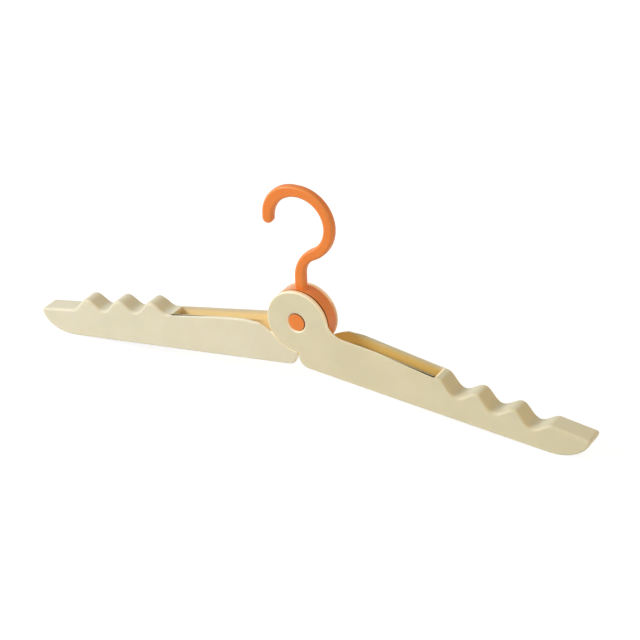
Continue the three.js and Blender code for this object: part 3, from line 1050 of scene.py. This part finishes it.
@dataclass
class Arm:
    """One arm: a channel with a hinge ear, waves for straps and a rounded tip.

    Attributes:
        side: Name of the CAD node, which is also its body's.
        slope: Fall of the arm's top edge, in degrees.
        half: Half of the arm's thickness.
        top: Height of the top edge over the pin, square to the edge.
        wave_start: Where the waves start along the arm.
        wave_end: Where they end.
        solid_edge: Radius of the long edges in the CAD solid.
        front_edge: Radius that the front's long top edge gets beside the channel.
        wave_edge: Radius that it gets on the waves and at the tip.
        back_edge: Radius that the waves' top edge gets at the back.
        tip_edge: Radius of the front's top edge round the tip's corner.
        front_fade: The front edge starts to widen and is wide, by its distance from the pin.
        wave_front: It turns into the waves' edge, from their start.
        wave_back: The waves' back edge starts to widen, from their start.
        wave_stop: It stops, from their end.
        tip_fade: The edges turn into the tip's, along the arm.
        upward: How far up an edge looks that widens, by its direction.
        place_slack: Slack in telling the long edges and the cuts by their place.
        facing_slack: Least share of an edge's direction that lies in the outline's plane.
        wall: How far the inside of the walls is from the middle plane.
        wall_slack: Slack in telling the front wall by its place.
        wall_reach: How far inside a wall the faces that bend with it may reach.
        lean: How the front wall leans.
        bend_step: Length of the strips that the walls are cut into beside the channel.
        cut_side: How far from the middle plane the wall across from the ear starts.
        cut_depth: How far down its corner's rounding reaches.
        corner: How far along the arm the wall across from the ear has its top corner.
        corner_round: How far that corner's extra rounding lowers it.
        corner_reach: How far along the arm the rounding reaches.
        edge: Radius put on the edges that the CAD leaves sharp.
        edge_steps: Faces across that radius.
        sharp: Angle from which an edge counts as sharp, in degrees.
        weld: Distance within which the solid's loose corners are one.
        flat: Angle between two faces up to which they are one, in degrees.
    """

    side: Body
    slope: float = 10.1
    half: float = 9.0
    top: float = -0.25
    wave_start: float = 105.1
    wave_end: float = 186.2
    solid_edge: float = 1.2
    front_edge: float = 1.35
    wave_edge: float = 2.0
    back_edge: float = 2.2
    tip_edge: float = 1.6
    front_fade: Fade = Fade(26.0, 36.0)
    wave_front: Fade = Fade(-2.0, 6.0)
    wave_back: Fade = Fade(-1.0, 6.0)
    wave_stop: Fade = Fade(9.0, 0.0)
    tip_fade: Fade = Fade(204.5, 210.5)
    upward: Fade = Fade(-0.1, 0.5)
    place_slack: float = 0.01
    facing_slack: float = 0.02
    wall: float = 7.0
    wall_slack: float = 0.2
    wall_reach: float = 0.5
    lean: Lean = Lean()
    bend_step: float = 3.0
    cut_side: float = 4.5
    cut_depth: float = 8.0
    corner: float = 33.5
    corner_round: float = 1.25
    corner_reach: float = 5.5
    edge: float = 0.3
    edge_steps: int = 3
    sharp: float = 40.0
    weld: float = 0.001
    flat: float = 0.6

    @property
    def out(self) -> int:
        """The way that the arm points along X: 1 for the right arm, -1 for the left one."""
        return 1 if self.side is Body.RIGHT_ARM else -1

    @property
    def fall(self) -> tuple[float, float]:
        """Sine and cosine of the top edge's slope."""
        return math.sin(math.radians(self.slope)), math.cos(math.radians(self.slope))

    def own(self, vectors: np.ndarray) -> tuple[np.ndarray, np.ndarray]:
        """Parts along and square to the top edge: x cos s - z sin s and x sin s + z cos s for the slope s.

        Args:
            vectors: Places from the pin, or directions.

        Returns:
            Both parts of each.
        """
        sin, cos = self.fall
        x, z = vectors[:, 0] * self.out, vectors[:, 2]
        return x * cos - z * sin, x * sin + z * cos

    def edge_radius(self, x: np.ndarray, y: np.ndarray, radius: np.ndarray) -> np.ndarray:
        """Radius that the arm's top edge gets at each point.

        At the front it grows from the ear outwards, and at the back only along
        the waves. On both it comes down to the tip's radius round the corner.

        Args:
            x: Places along the arm.
            y: Places across it.
            radius: Distances from the pin.

        Returns:
            The radii.
        """
        on_waves = self.wave_front.at(x, self.wave_start)
        front_wide = self.front_edge + (self.wave_edge - self.front_edge) * on_waves
        back = self.wave_back.at(x, self.wave_start) * self.wave_stop.at(x, self.wave_end)
        wide = np.where(y < 0, front_wide, self.back_edge)
        grown = self.solid_edge + (wide - self.solid_edge) * np.where(y < 0, self.front_fade.at(radius), back)
        tip = np.where(y < 0, self.tip_edge, self.solid_edge)
        return grown + (tip - grown) * self.tip_fade.at(x)

    def shape_top(self, points: np.ndarray, facing: np.ndarray) -> np.ndarray:
        """Widens the long top edges, leans the front wall in and rounds the corner across from the ear.

        The solid's long edges are quarter circles of radius r. A point of one
        lies r (1 - sin t) inside the outline and r (1 - cos t) inside the side
        face, so its distance from the side face gives t, and the direction
        that it faces gives the way out to the outline. The new radius gives
        its new place. The front wall then leans in evenly, from a depth under
        the top edge up to that edge and on up the waves. The wall across from
        the ear comes down by a bell curve round its corner.

        Args:
            points: Points of the arm, in metres.
            facing: Directions that they face.

        Returns:
            The points in their new places.
        """
        local = (points - pin_middle()) / MM
        x, z = self.own(local)
        y = local[:, 1]
        radius = np.hypot(x, z)
        toward_x, toward_z = self.own(facing)
        length = np.hypot(toward_x, toward_z)
        toward_x = toward_x / np.maximum(length, LEAST_LENGTH)
        toward_z = toward_z / np.maximum(length, LEAST_LENGTH)
        from_side = self.half - np.abs(y)
        by_side = (from_side < self.solid_edge + self.place_slack) & (length > self.facing_slack)
        edge = by_side & (radius > self.front_fade.zero)
        more = (self.edge_radius(x, y, radius) - self.solid_edge) * self.upward.at(toward_z)
        new_edge = self.solid_edge + more
        cos_t = np.clip(1 - from_side / self.solid_edge, 0, 1)
        sin_t = np.sqrt(1 - cos_t**2)
        inwards = (new_edge - self.solid_edge) * (1 - sin_t)
        new_y = np.sign(y) * (self.half - new_edge * (1 - cos_t))
        x = np.where(edge, x - toward_x * inwards, x)
        z = np.where(edge, z - toward_z * inwards, z)
        y = np.where(edge, new_y, y)
        y = np.where(y < -self.wall + self.wall_slack, y + self.lean.at(x, self.top - z), y)
        cut_wall = (y * self.out > self.cut_side) & (z > self.top - self.cut_depth)
        lowered = self.corner_round * np.exp(-(((x - self.corner) / self.corner_reach) ** 2))
        z = np.where(cut_wall, z - lowered, z)
        sin, cos = self.fall
        moved = np.stack([(x * cos + z * sin) * self.out, y, z * cos - x * sin], axis=1)
        return moved * MM + pin_middle()

    def bends(self, face: bmesh.types.BMFace) -> bool:
        """Whether a face belongs to one of the two walls."""
        return abs(face.calc_center_median().y) > (self.wall - self.wall_reach) * MM

    def cut_walls(self, shell: bmesh.types.BMesh) -> None:
        """Cuts the walls' faces into strips beside the channel, where they bend.

        Args:
            shell: The arm's mesh.
        """
        sin, cos = self.fall
        along = Vector((self.out * cos, 0, -sin))
        for place in np.arange(self.lean.share.zero, self.wave_start - self.bend_step, self.bend_step):
            faces = [face for face in shell.faces if self.bends(face)]
            edges = {edge for face in faces for edge in face.edges}
            corners = {corner for face in faces for corner in face.verts}
            bmesh.ops.bisect_plane(
                shell, geom=faces + list(edges) + list(corners), dist=self.place_slack * MM,
                plane_co=Vector(pin_middle()) + along * float(place) * MM, plane_no=along,
            )

    def build(self) -> bpy.types.Object:
        """Copies the CAD arm, welds its loose triangles, shapes its walls and rounds its sharp edges.

        Returns:
            The arm.
        """
        source = frame["nodes"][self.side.value]
        mesh = source.data.copy()
        mesh.name = self.side.value + "_shell"
        welded = bmesh.new()
        welded.from_mesh(mesh)
        bmesh.ops.remove_doubles(welded, verts=welded.verts, dist=self.weld * MM)
        bmesh.ops.dissolve_limit(
            welded, angle_limit=math.radians(self.flat), verts=welded.verts, edges=welded.edges
        )
        self.cut_walls(welded)
        welded.to_mesh(mesh)
        welded.free()
        points = np.empty(len(mesh.vertices) * 3)
        facing = np.empty(len(mesh.vertices) * 3)
        mesh.vertices.foreach_get("co", points)
        mesh.vertices.foreach_get("normal", facing)
        points = self.shape_top(points.reshape(-1, 3), facing.reshape(-1, 3))
        mesh.vertices.foreach_set("co", points.ravel())
        mesh.update()
        mesh.shade_smooth()
        arm = bpy.data.objects.new(mesh.name, mesh)
        bpy.context.scene.collection.objects.link(arm)
        bevel = arm.modifiers.new("edge radius", "BEVEL")
        bevel.width = self.edge * MM
        bevel.segments = self.edge_steps
        bevel.limit_method = "ANGLE"
        bevel.angle_limit = math.radians(self.sharp)
        bevel.harden_normals = True
        arm.modifiers.new("flat faces stay flat", "WEIGHTED_NORMAL").keep_sharp = True
        return arm

    def dress(self, arm: bpy.types.Object, plastic: bpy.types.Material) -> None:
        """Gives the arm its plastic and its body.

        Args:
            arm: The arm.
            plastic: Its material.
        """
        arm.data.materials.clear()
        arm.data.materials.append(plastic)
        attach(arm, self.side.value)
        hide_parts(self.side.value)


@dataclass
class Hook:
    """The hook: a flat band bent into a stem and a loop, the hinge's hub and its stop lug.

    Attributes:
        width: Width of the band.
        thickness: Thickness of the band.
        edge: Radius of the band's edges.
        loop_radius: Outer radius of the loop.
        bend_radius: Radius of the bend's outer side.
        throat_radius: Radius of the bend's inner side.
        shoulder_offset: How far the tip side's arc is off the loop's center.
        stem: Straight length between the hub and the bend.
        root: Radius where the stem meets the hub.
        hub_radius: Radius of the hub.
        hub_half: Half of the hub's width.
        rim_wall: Wall of the hub's rim.
        rim_edge: Radius of the rim's edges.
        bore_edge: Radius of the bore's edges.
        boss_edge: Radius of the boss's outer edges and of the rim's inner ones.
        web_edge: Radius of the corners between them and the web.
        groove_edge: Radius of the groove's corners.
        hub_steps: Steps round the hub.
        front_groove: Width of the groove that parts the rim from the front ear.
        back_groove: Width of the groove at the back ear.
        groove_depth: Depth of both.
        boss_radius: Radius of the boss round the pin.
        bore_radius: Radius of the bore.
        web_half: Half of the thickness of the web between boss and rim.
        lug_inner: Inner radius of the stop lug.
        lug_setback: How far the lug's outer face lies inside the rim.
        lug_half: Half of the lug's width.
        lug_degrees: Half of the angle that the lug takes.
        lug_edge: Radius of its edges.
        lug_steps: Steps along it.
        edge_steps: Steps across the band's edges.
        root_steps: Steps of the root's arcs.
        tip_steps: Steps of each half of the tip.
        bend_fine: Steps of the bend's arcs before they are evened out.
        inner_fine: Steps of the loop's inner arc before that.
        outer_fine: Steps of its outer arc.
        shoulder_fine: Steps of the shoulder.
        bend_count: Points along the bend.
        loop_count: Points along the loop.
        sharp: Angle from which an edge counts as sharp, in degrees.
    """

    width: float = 7.5
    thickness: float = 6.2
    edge: float = 2.0
    loop_radius: float = 26.4
    bend_radius: float = 25.0
    throat_radius: float = 13.5
    shoulder_offset: float = 2.9
    stem: float = 8.2
    root: float = 1.2
    hub_radius: float = 22.2
    hub_half: float = 5.5
    rim_wall: float = 8.2
    rim_edge: float = 0.4
    bore_edge: float = 0.2
    boss_edge: float = 0.3
    web_edge: float = 0.5
    groove_edge: float = 0.15
    hub_steps: int = 160
    front_groove: float = 1.3
    back_groove: float = 0.3
    groove_depth: float = 1.7
    boss_radius: float = 7.7
    bore_radius: float = 3.8
    web_half: float = 1.6
    lug_inner: float = 14.4
    lug_setback: float = 0.4
    lug_half: float = 6.9
    lug_degrees: float = 22.0
    lug_edge: float = 0.4
    lug_steps: int = 24
    edge_steps: int = 6
    root_steps: int = 8
    tip_steps: int = 12
    bend_fine: int = 60
    inner_fine: int = 240
    outer_fine: int = 160
    shoulder_fine: int = 90
    bend_count: int = 36
    loop_count: int = 120
    sharp: float = 50.0

    def sides(self) -> tuple[np.ndarray, np.ndarray]:
        """The band's two sides in the X-Z plane, from inside the hub to the tip, point by point.

        Each side is a run of arcs that touch each other: the root, the bend,
        the loop, the shoulder and a quarter of the round tip.

        Returns:
            The left or inner side, and the right or outer side.
        """
        half = self.width / 2
        inner = self.loop_radius - self.width
        bend_x = self.bend_radius - half
        bend_drop = math.sqrt((inner + self.bend_radius) ** 2 - bend_x**2)
        height = self.hub_radius + self.stem + bend_drop
        throat_x = self.throat_radius + half
        throat_drop = math.sqrt((self.loop_radius + self.throat_radius) ** 2 - throat_x**2)
        bend_end = math.atan2(-bend_drop, bend_x)
        throat_end = math.atan2(-throat_drop, throat_x)
        root_x = half + self.root
        root_z = math.sqrt((self.hub_radius + self.root) ** 2 - root_x**2)
        root_angle = math.atan2(root_z, root_x)
        deep = self.hub_radius - self.rim_wall / 2
        start = np.array([[deep * math.cos(root_angle), deep * math.sin(root_angle)]])
        root = arc((root_x, root_z), self.root, root_angle + math.pi, math.pi, self.root_steps)
        bend_middle = (bend_x, height - bend_drop)
        throat_middle = (throat_x, height - throat_drop)
        bend = arc(bend_middle, self.bend_radius, math.pi, bend_end + math.pi, self.bend_fine)
        throat = arc(throat_middle, self.throat_radius, math.pi, throat_end + math.pi, self.bend_fine)
        tip = (half - self.loop_radius, height)
        left = [
            np.concatenate([start, root]) * np.array([-1, 1]),
            evenly(np.concatenate([[[-half, root_z]], bend]), self.bend_count),
            evenly(arc((0, height), inner, bend_end, math.pi, self.inner_fine), self.loop_count),
            arc(tip, half, 0, -math.pi / 2, self.tip_steps),
        ]
        offset = self.shoulder_offset
        shoulder = (-offset, height + offset), self.loop_radius - offset
        outer = np.concatenate([
            arc((0, height), self.loop_radius, throat_end, math.pi / 2, self.outer_fine),
            arc(*shoulder, math.pi / 2, math.pi, self.shoulder_fine)[1:],
            [[-self.loop_radius, height]],
        ])
        right = [
            np.concatenate([start, root]),
            evenly(np.concatenate([[[half, root_z]], throat]), self.bend_count),
            evenly(outer, self.loop_count),
            arc(tip, half, math.pi, 1.5 * math.pi, self.tip_steps),
        ]
        joined = [np.concatenate([run[0]] + [part[1:] for part in run[1:]]) for run in (left, right)]
        return joined[0], joined[1]

    def band(self) -> Shell:
        """Surface of the band.

        Over the place along the band and the angle a round its section, a point
        is the side's point moved inwards by e (1 - sin a) and from the face by
        e (1 - cos a), where e is the radius of the edge.

        Returns:
            The closed surface.
        """
        left, right = self.sides()
        a = np.linspace(0, math.pi / 2, self.edge_steps + 1)
        inwards = self.edge * (1 - np.sin(a))
        y = self.thickness / 2 - self.edge * (1 - np.cos(a))
        rows = []
        for side, turn in ((left, -1), (right, 1)):
            along = np.gradient(side, axis=0)
            along /= np.linalg.norm(along, axis=1, keepdims=True)
            normal = np.stack([-along[:, 1], along[:, 0]], axis=1) * turn
            flat = side[:, None, :] + normal[:, None, :] * inwards[None, :, None]
            front = np.stack([flat[..., 0], np.broadcast_to(-y, flat.shape[:2]), flat[..., 1]], axis=-1)
            back = front * np.array([1, -1, 1])
            rows.append(np.concatenate([front, back[:, ::-1]], axis=1))
        grid = np.concatenate([rows[0], rows[1][:, ::-1]], axis=1)
        return Shell(np.concatenate([closed_end(grid[0]), grid]))

    def hub_side(self, groove: float) -> list[tuple[float, float, float]]:
        """Half of the hub's profile, from its bore out to its rim.

        Args:
            groove: Width of the groove beside the rim.

        Returns:
            Radius, Y and rounding of each corner.
        """
        rim = self.hub_radius - self.rim_wall
        floor = self.hub_radius - self.groove_depth
        return [
            (self.bore_radius, -self.hub_half, self.bore_edge),
            (self.boss_radius, -self.hub_half, self.boss_edge),
            (self.boss_radius, -self.web_half, self.web_edge),
            (rim, -self.web_half, self.web_edge),
            (rim, -self.hub_half, self.boss_edge),
            (floor, -self.hub_half, self.groove_edge),
            (floor, groove - self.hub_half, self.groove_edge),
            (self.hub_radius, groove - self.hub_half, self.rim_edge),
        ]

    def hub(self) -> Shell:
        """Hub with its rim, web and boss: a rounded profile turned round the pin.

        Returns:
            The closed surface.
        """
        back = [(radius, -y, edge) for radius, y, edge in reversed(self.hub_side(self.back_groove))]
        profile = rounded(self.hub_side(self.front_groove) + back)
        return Shell(turned(profile, self.hub_steps), ring_rows=True)

    def lug(self) -> Shell:
        """Stop lug under the pin: a rounded rectangle carried along an arc, closed at both ends.

        Returns:
            The closed surface.
        """
        outer = self.hub_radius - self.lug_setback
        section = rounded([
            (self.lug_inner, -self.lug_half, self.lug_edge),
            (outer, -self.lug_half, self.lug_edge),
            (outer, self.lug_half, self.lug_edge),
            (self.lug_inner, self.lug_half, self.lug_edge),
        ])
        spread = math.radians(self.lug_degrees)
        below = 1.5 * math.pi
        grid = carried(section, np.linspace(below - spread, below + spread, self.lug_steps + 1))
        return Shell(np.concatenate([closed_end(grid[0]), grid, closed_end(grid[-1])]))

    def build(self) -> bpy.types.Object:
        """Makes the hook of its band, hub and lug.

        Returns:
            The hook.
        """
        hook = piece_from("hook_band_and_hub", [self.band(), self.hub(), self.lug()], pin_middle())
        hook.data.set_sharp_from_angle(angle=math.radians(self.sharp))
        hook.modifiers.new("flat faces stay flat", "WEIGHTED_NORMAL").keep_sharp = True
        return hook

    def dress(self, hook: bpy.types.Object, plastic: bpy.types.Material) -> None:
        """Gives the hook its plastic and its body.

        Args:
            hook: The hook.
            plastic: Its material.
        """
        hook.data.materials.append(plastic)
        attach(hook, Body.HOOK.value)
        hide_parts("hook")


@dataclass
class Pin:
    """The hinge's pin and its cap, both turned round the pin's axis.

    Attributes:
        half: Half of the arms' thickness.
        head_radius: Radius of the head and of the cap.
        sink: How far the head lies under the arm's face.
        dome: Rise of the head's middle over its rim.
        rim: Radius of the head's rim.
        seat: Depth of the recess that takes the head.
        shaft_radius: Radius of the shaft.
        bore_radius: Radius of the shaft's bore, which takes the cap's stud.
        bore_depth: Depth of that bore.
        gap: Clearance between the pieces.
        stud_taper: Chamfer of the stud's end.
        face_count: Points from the middle of a head's face to its rim.
        rim_steps: Steps of the rim.
        steps: Steps round the pin.
        sharp: Angle from which an edge counts as sharp, in degrees.
    """

    half: float = 9.0
    head_radius: float = 6.05
    sink: float = 0.05
    dome: float = 0.25
    rim: float = 0.6
    seat: float = 2.0
    shaft_radius: float = 3.5
    bore_radius: float = 2.1
    bore_depth: float = 9.0
    gap: float = 0.3
    stud_taper: float = 0.5
    face_count: int = 12
    rim_steps: int = 6
    steps: int = 96
    sharp: float = 50.0

    def head(self) -> np.ndarray:
        """Profile of a head from its middle out to its edge.

        The face falls from its middle by dome times the square of the share of
        the radius, and the rim is a quarter circle.

        Returns:
            Radius and depth under the arm's face.
        """
        share = np.linspace(0, 1, self.face_count)
        flat = self.head_radius - self.rim
        face = np.stack([share * flat, self.sink + self.dome * share**2], axis=1)
        middle = (flat, self.sink + self.dome + self.rim)
        edge = arc(middle, self.rim, -math.pi / 2, 0, self.rim_steps)
        return np.concatenate([face, edge[1:]])

    def pin_profile(self) -> np.ndarray:
        """Profile of the pin, from the middle of its head to the bottom of its bore.

        Returns:
            Radius and Y of each point.
        """
        end = self.half - self.seat
        seat = -self.half + self.seat - self.gap
        head = self.head() - np.array([0, self.half])
        rest = [
            (self.head_radius, seat),
            (self.shaft_radius, seat),
            (self.shaft_radius, end),
            (self.bore_radius, end),
            (self.bore_radius, end - self.bore_depth),
            (0.0, end - self.bore_depth),
        ]
        return np.concatenate([head, rest])

    def cap_profile(self) -> np.ndarray:
        """Profile of the cap, from the middle of its face to the end of its stud.

        Returns:
            Radius and Y of each point.
        """
        seat = self.half - self.seat + self.gap
        stud = self.bore_radius - self.gap
        stud_end = self.half - self.seat - self.bore_depth + self.gap
        head = self.head() * np.array([1, -1]) + np.array([0, self.half])
        rest = [
            (self.head_radius, seat),
            (stud, seat),
            (stud, stud_end + 2 * self.stud_taper),
            (stud - self.stud_taper, stud_end),
            (0.0, stud_end),
        ]
        return np.concatenate([head, rest])

    def build(self) -> tuple[bpy.types.Object, bpy.types.Object]:
        """Makes the pin and the cap.

        Returns:
            The pin and the cap.
        """
        pieces = []
        for name, profile in (("hinge_pin", self.pin_profile()), ("hinge_cap", self.cap_profile())):
            surface = Shell(turned(profile, self.steps), ring_rows=True, ring_columns=False)
            piece = piece_from(name, [surface], pin_middle())
            piece.data.set_sharp_from_angle(angle=math.radians(self.sharp))
            pieces.append(piece)
        return pieces[0], pieces[1]

    def dress(self, pin: bpy.types.Object, cap: bpy.types.Object, plastic: bpy.types.Material) -> None:
        """Gives the pin and the cap their plastic and their body.

        Args:
            pin: The pin.
            cap: The cap.
            plastic: Their material.
        """
        for piece, node in ((pin, "pivot_pin"), (cap, "pin_cap")):
            piece.data.materials.append(plastic)
            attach(piece, Body.HOOK.value)
            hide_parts(node)


# Studio


def seen_directly(nodes: Nodes) -> Socket:
    """Puts out 1 for what the camera sees straight, in a reflection or through glass.

    Args:
        nodes: Nodes of the material or world.

    Returns:
        The light path's share.
    """
    ray = nodes.add("LightPath")
    seen = nodes.math("MAXIMUM", ray.outputs["Is Camera Ray"], ray.outputs["Is Glossy Ray"])
    return nodes.math("MAXIMUM", seen, ray.outputs["Is Transmission Ray"])


@dataclass(frozen=True)
class PhotoCamera:
    """The camera that took the photograph, found from the object's outlines in it.

    Attributes:
        turn: Turn to the object's right, in degrees.
        height: Angle above the horizon, in degrees.
        roll: Roll about the line of sight, in degrees.
        focal: Focal length in pixels of the 640 pixel frame.
        distance: Distance to the pin, in metres.
        pin_at: Where the pin is seen, in pixels.
        frame: Side of the frame in pixels.
        sensor: Width of the sensor in millimetres.
    """

    turn: float = 30.1031
    height: float = 27.9796
    roll: float = -2.1432
    focal: float = 2323.2105
    distance: float = 1.5352195
    pin_at: tuple[float, float] = (302.7236, 317.0792)
    frame: float = 640.0
    sensor: float = 36.0

    def place(self) -> None:
        """Makes the camera and gives it to the scene."""
        turn, height, roll = (math.radians(a) for a in (self.turn, self.height, self.roll))
        back = np.array([-math.sin(turn), math.cos(turn), 0.0])
        ahead = back * math.cos(height) - np.array([0.0, 0.0, math.sin(height)])
        level = np.array([math.cos(turn), math.sin(turn), 0.0])
        upright = np.cross(level, ahead)
        right = level * math.cos(roll) + upright * math.sin(roll)
        up = upright * math.cos(roll) - level * math.sin(roll)
        aside, above = (np.array(self.pin_at) - self.frame / 2) * self.distance / self.focal
        eye = pin_middle() - self.distance * ahead - aside * right + above * up
        data = bpy.data.cameras.new("photo_camera")
        data.sensor_width = self.sensor
        data.lens = self.focal * self.sensor / self.frame
        camera = bpy.data.objects.new("photo_camera", data)
        facing = Matrix((right, up, -ahead)).transposed()
        camera.matrix_world = Matrix.Translation(Vector(eye)) @ facing.to_4x4()
        bpy.context.scene.collection.objects.link(camera)
        bpy.context.scene.camera = camera


@dataclass(frozen=True)
class Softbox:
    """A square area light.

    Attributes:
        name: Its name.
        eye: Where it stands, in metres.
        size: Its side, in metres.
        watts: Its power.
        tint: Its colour.
    """

    name: str
    eye: tuple[float, float, float]
    size: float
    watts: float
    tint: Colour = WHITE

    def place(self, target: Vector) -> None:
        """Makes the light and turns it to a point.

        Args:
            target: The point.
        """
        data = bpy.data.lights.new(self.name, "AREA")
        data.size = self.size
        data.energy = self.watts
        data.color = self.tint
        lamp = bpy.data.objects.new(self.name, data)
        lamp.location = self.eye
        lamp.rotation_euler = (target - Vector(self.eye)).to_track_quat("-Z", "Y").to_euler()
        bpy.context.scene.collection.objects.link(lamp)


@dataclass
class Studio:
    """Plain white studio: a pale floor, an even sky and soft lights.

    Attributes:
        sky: Strength of the sky's light.
        sky_tint: Colour of that light.
        floor_colour: Colour of the floor.
        floor_size: Side of the floor, in metres.
        floor_gap: How far the floor lies under the object, in metres.
        floor_lift: Share of the floor's white that its shadow can't take away, for the camera.
        floor_shade: Share of the floor's white that the light on it gives, for the camera.
        lights: The soft lights.
    """

    sky: float = 0.46
    sky_tint: Colour = (1.0, 0.95, 0.8)
    floor_colour: float = 0.8
    floor_size: float = 8.0
    floor_gap: float = 0.0002
    floor_lift: float = 0.9
    floor_shade: float = 0.25
    lights: tuple[Softbox, ...] = field(default_factory=lambda: (
        Softbox("key", (-1.5, -1.1, 0.98), 0.8, 28.5),
        Softbox("fill", (2.0, -0.5, 0.7), 1.6, 7.5, (1.0, 0.7, 0.33)),
    ))

    def set_world(self) -> None:
        """Sky that lights the object evenly and is white to the camera and in reflections."""
        world = bpy.data.worlds.new("even sky")
        world.use_nodes = True
        nodes = Nodes(world.node_tree)
        dim = tuple(self.sky * share for share in self.sky_tint)
        background = world.node_tree.nodes["Background"]
        nodes.set(background, "Color", nodes.blend(seen_directly(nodes), dim, WHITE))
        bpy.context.scene.world = world

    def floor(self) -> bpy.types.Object:
        """Level floor under the object.

        Returns:
            The floor.
        """
        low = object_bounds()[0]
        side = np.array([-0.5, 0.5]) * self.floor_size
        x, y = np.meshgrid(side, side)
        points = np.stack([x.ravel(), y.ravel(), np.full(4, low[2] - self.floor_gap)], axis=1)
        mesh = bpy.data.meshes.new("floor")
        mesh.from_pydata(points, [], [(0, 1, 3, 2)])
        floor = bpy.data.objects.new("floor", mesh)
        bpy.context.scene.collection.objects.link(floor)
        material = bpy.data.materials.new("pale floor")
        material.use_nodes = True
        nodes = Nodes(material.node_tree)
        old = material.node_tree.nodes["Principled BSDF"]
        material.node_tree.nodes.remove(old)
        out = material.node_tree.nodes["Material Output"]
        shaded = nodes.add("BsdfDiffuse", {"Color": opaque((self.floor_colour,) * 3)})
        faint = nodes.add("BsdfDiffuse", {"Color": opaque((self.floor_shade,) * 3)})
        lift = nodes.add("Emission", {"Color": opaque(WHITE), "Strength": self.floor_lift})
        seen = nodes.add("AddShader", {0: faint.outputs[0], 1: lift.outputs[0]})
        mix = nodes.add("MixShader", {0: seen_directly(nodes), 1: shaded.outputs[0], 2: seen.outputs[0]})
        nodes.set(out, "Surface", mix.outputs[0])
        mesh.materials.append(material)
        floor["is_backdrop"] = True
        return floor

    def build(self) -> None:
        """Sets the world, the floor, the lights and the view."""
        bpy.context.scene.view_settings.view_transform = "Standard"
        self.set_world()
        self.floor()
        for light in self.lights:
            light.place(Vector(pin_middle()))


def corners() -> list[list[float]]:
    """The shown object's box as plain lists."""
    return [[float(v) for v in corner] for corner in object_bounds()]


def main() -> None:
    """Builds the looks in order and reports each piece."""
    logging.basicConfig(level=logging.INFO, format="%(name)s: %(message)s")
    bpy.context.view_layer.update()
    effects = Effects(moulded_skin_group(), painted_edge_highlight_group())
    # Colour of the painted highlight on the cream arms' rounded edges.
    pale = linear(255, 244, 222)
    arm_edge = (0.03, 0.15, 0.35, 0.62)
    # Lit and shaded copies of one cream plastic: the left arm's colour, inside and glow are painted lighter
    # and cooler as the key light falls, the right arm's darker and warmer; the left also gets more painted
    # shade at its channel's end and more painted highlight at its tip.
    lit_and_shaded_creams = {
        Body.RIGHT_ARM: ArmPlastic(
            "cream plastic, right arm", colour=linear(229, 222, 194), deep=linear(225, 218, 189), pale=pale,
            edge_range=arm_edge, inside=linear(228, 200, 126), painted_channel_glow=(0.115, 0.082, 0.025),
            shade_depth=7.3, end_shade=0.15, tip_amount=0.1,
        ),
        Body.LEFT_ARM: ArmPlastic(
            "cream plastic, left arm", colour=linear(231, 225, 204), deep=linear(227, 221, 199), pale=pale,
            edge_range=arm_edge, inside=linear(236, 216, 168), painted_channel_glow=(0.2, 0.155, 0.065),
            shade_depth=6.4, end_shade=0.55, rim_share=0.3, tip_amount=0.55,
        ),
    }
    # The orange's pale colour is its painted edge highlight.
    orange = HookPlastic(
        "orange plastic", colour=linear(244, 140, 61), deep=linear(241, 135, 56), pale=linear(247, 156, 88),
        glow=0.1,
    ).material(effects)
    for side, cream in lit_and_shaded_creams.items():
        part = Arm(side)
        arm = part.build()
        part.dress(arm, cream.material(effects))
        log.info("%s: %d faces", arm.name, len(arm.data.polygons))
    band = Hook()
    hook = band.build()
    band.dress(hook, orange)
    log.info("%s: %d faces", hook.name, len(hook.data.polygons))
    turned_pin = Pin()
    pin, cap = turned_pin.build()
    turned_pin.dress(pin, cap, orange)
    log.info("%s and %s: %d faces", pin.name, cap.name, len(pin.data.polygons) + len(cap.data.polygons))
    Studio().build()
    PhotoCamera().place()


if __name__ == "__main__":
    main()
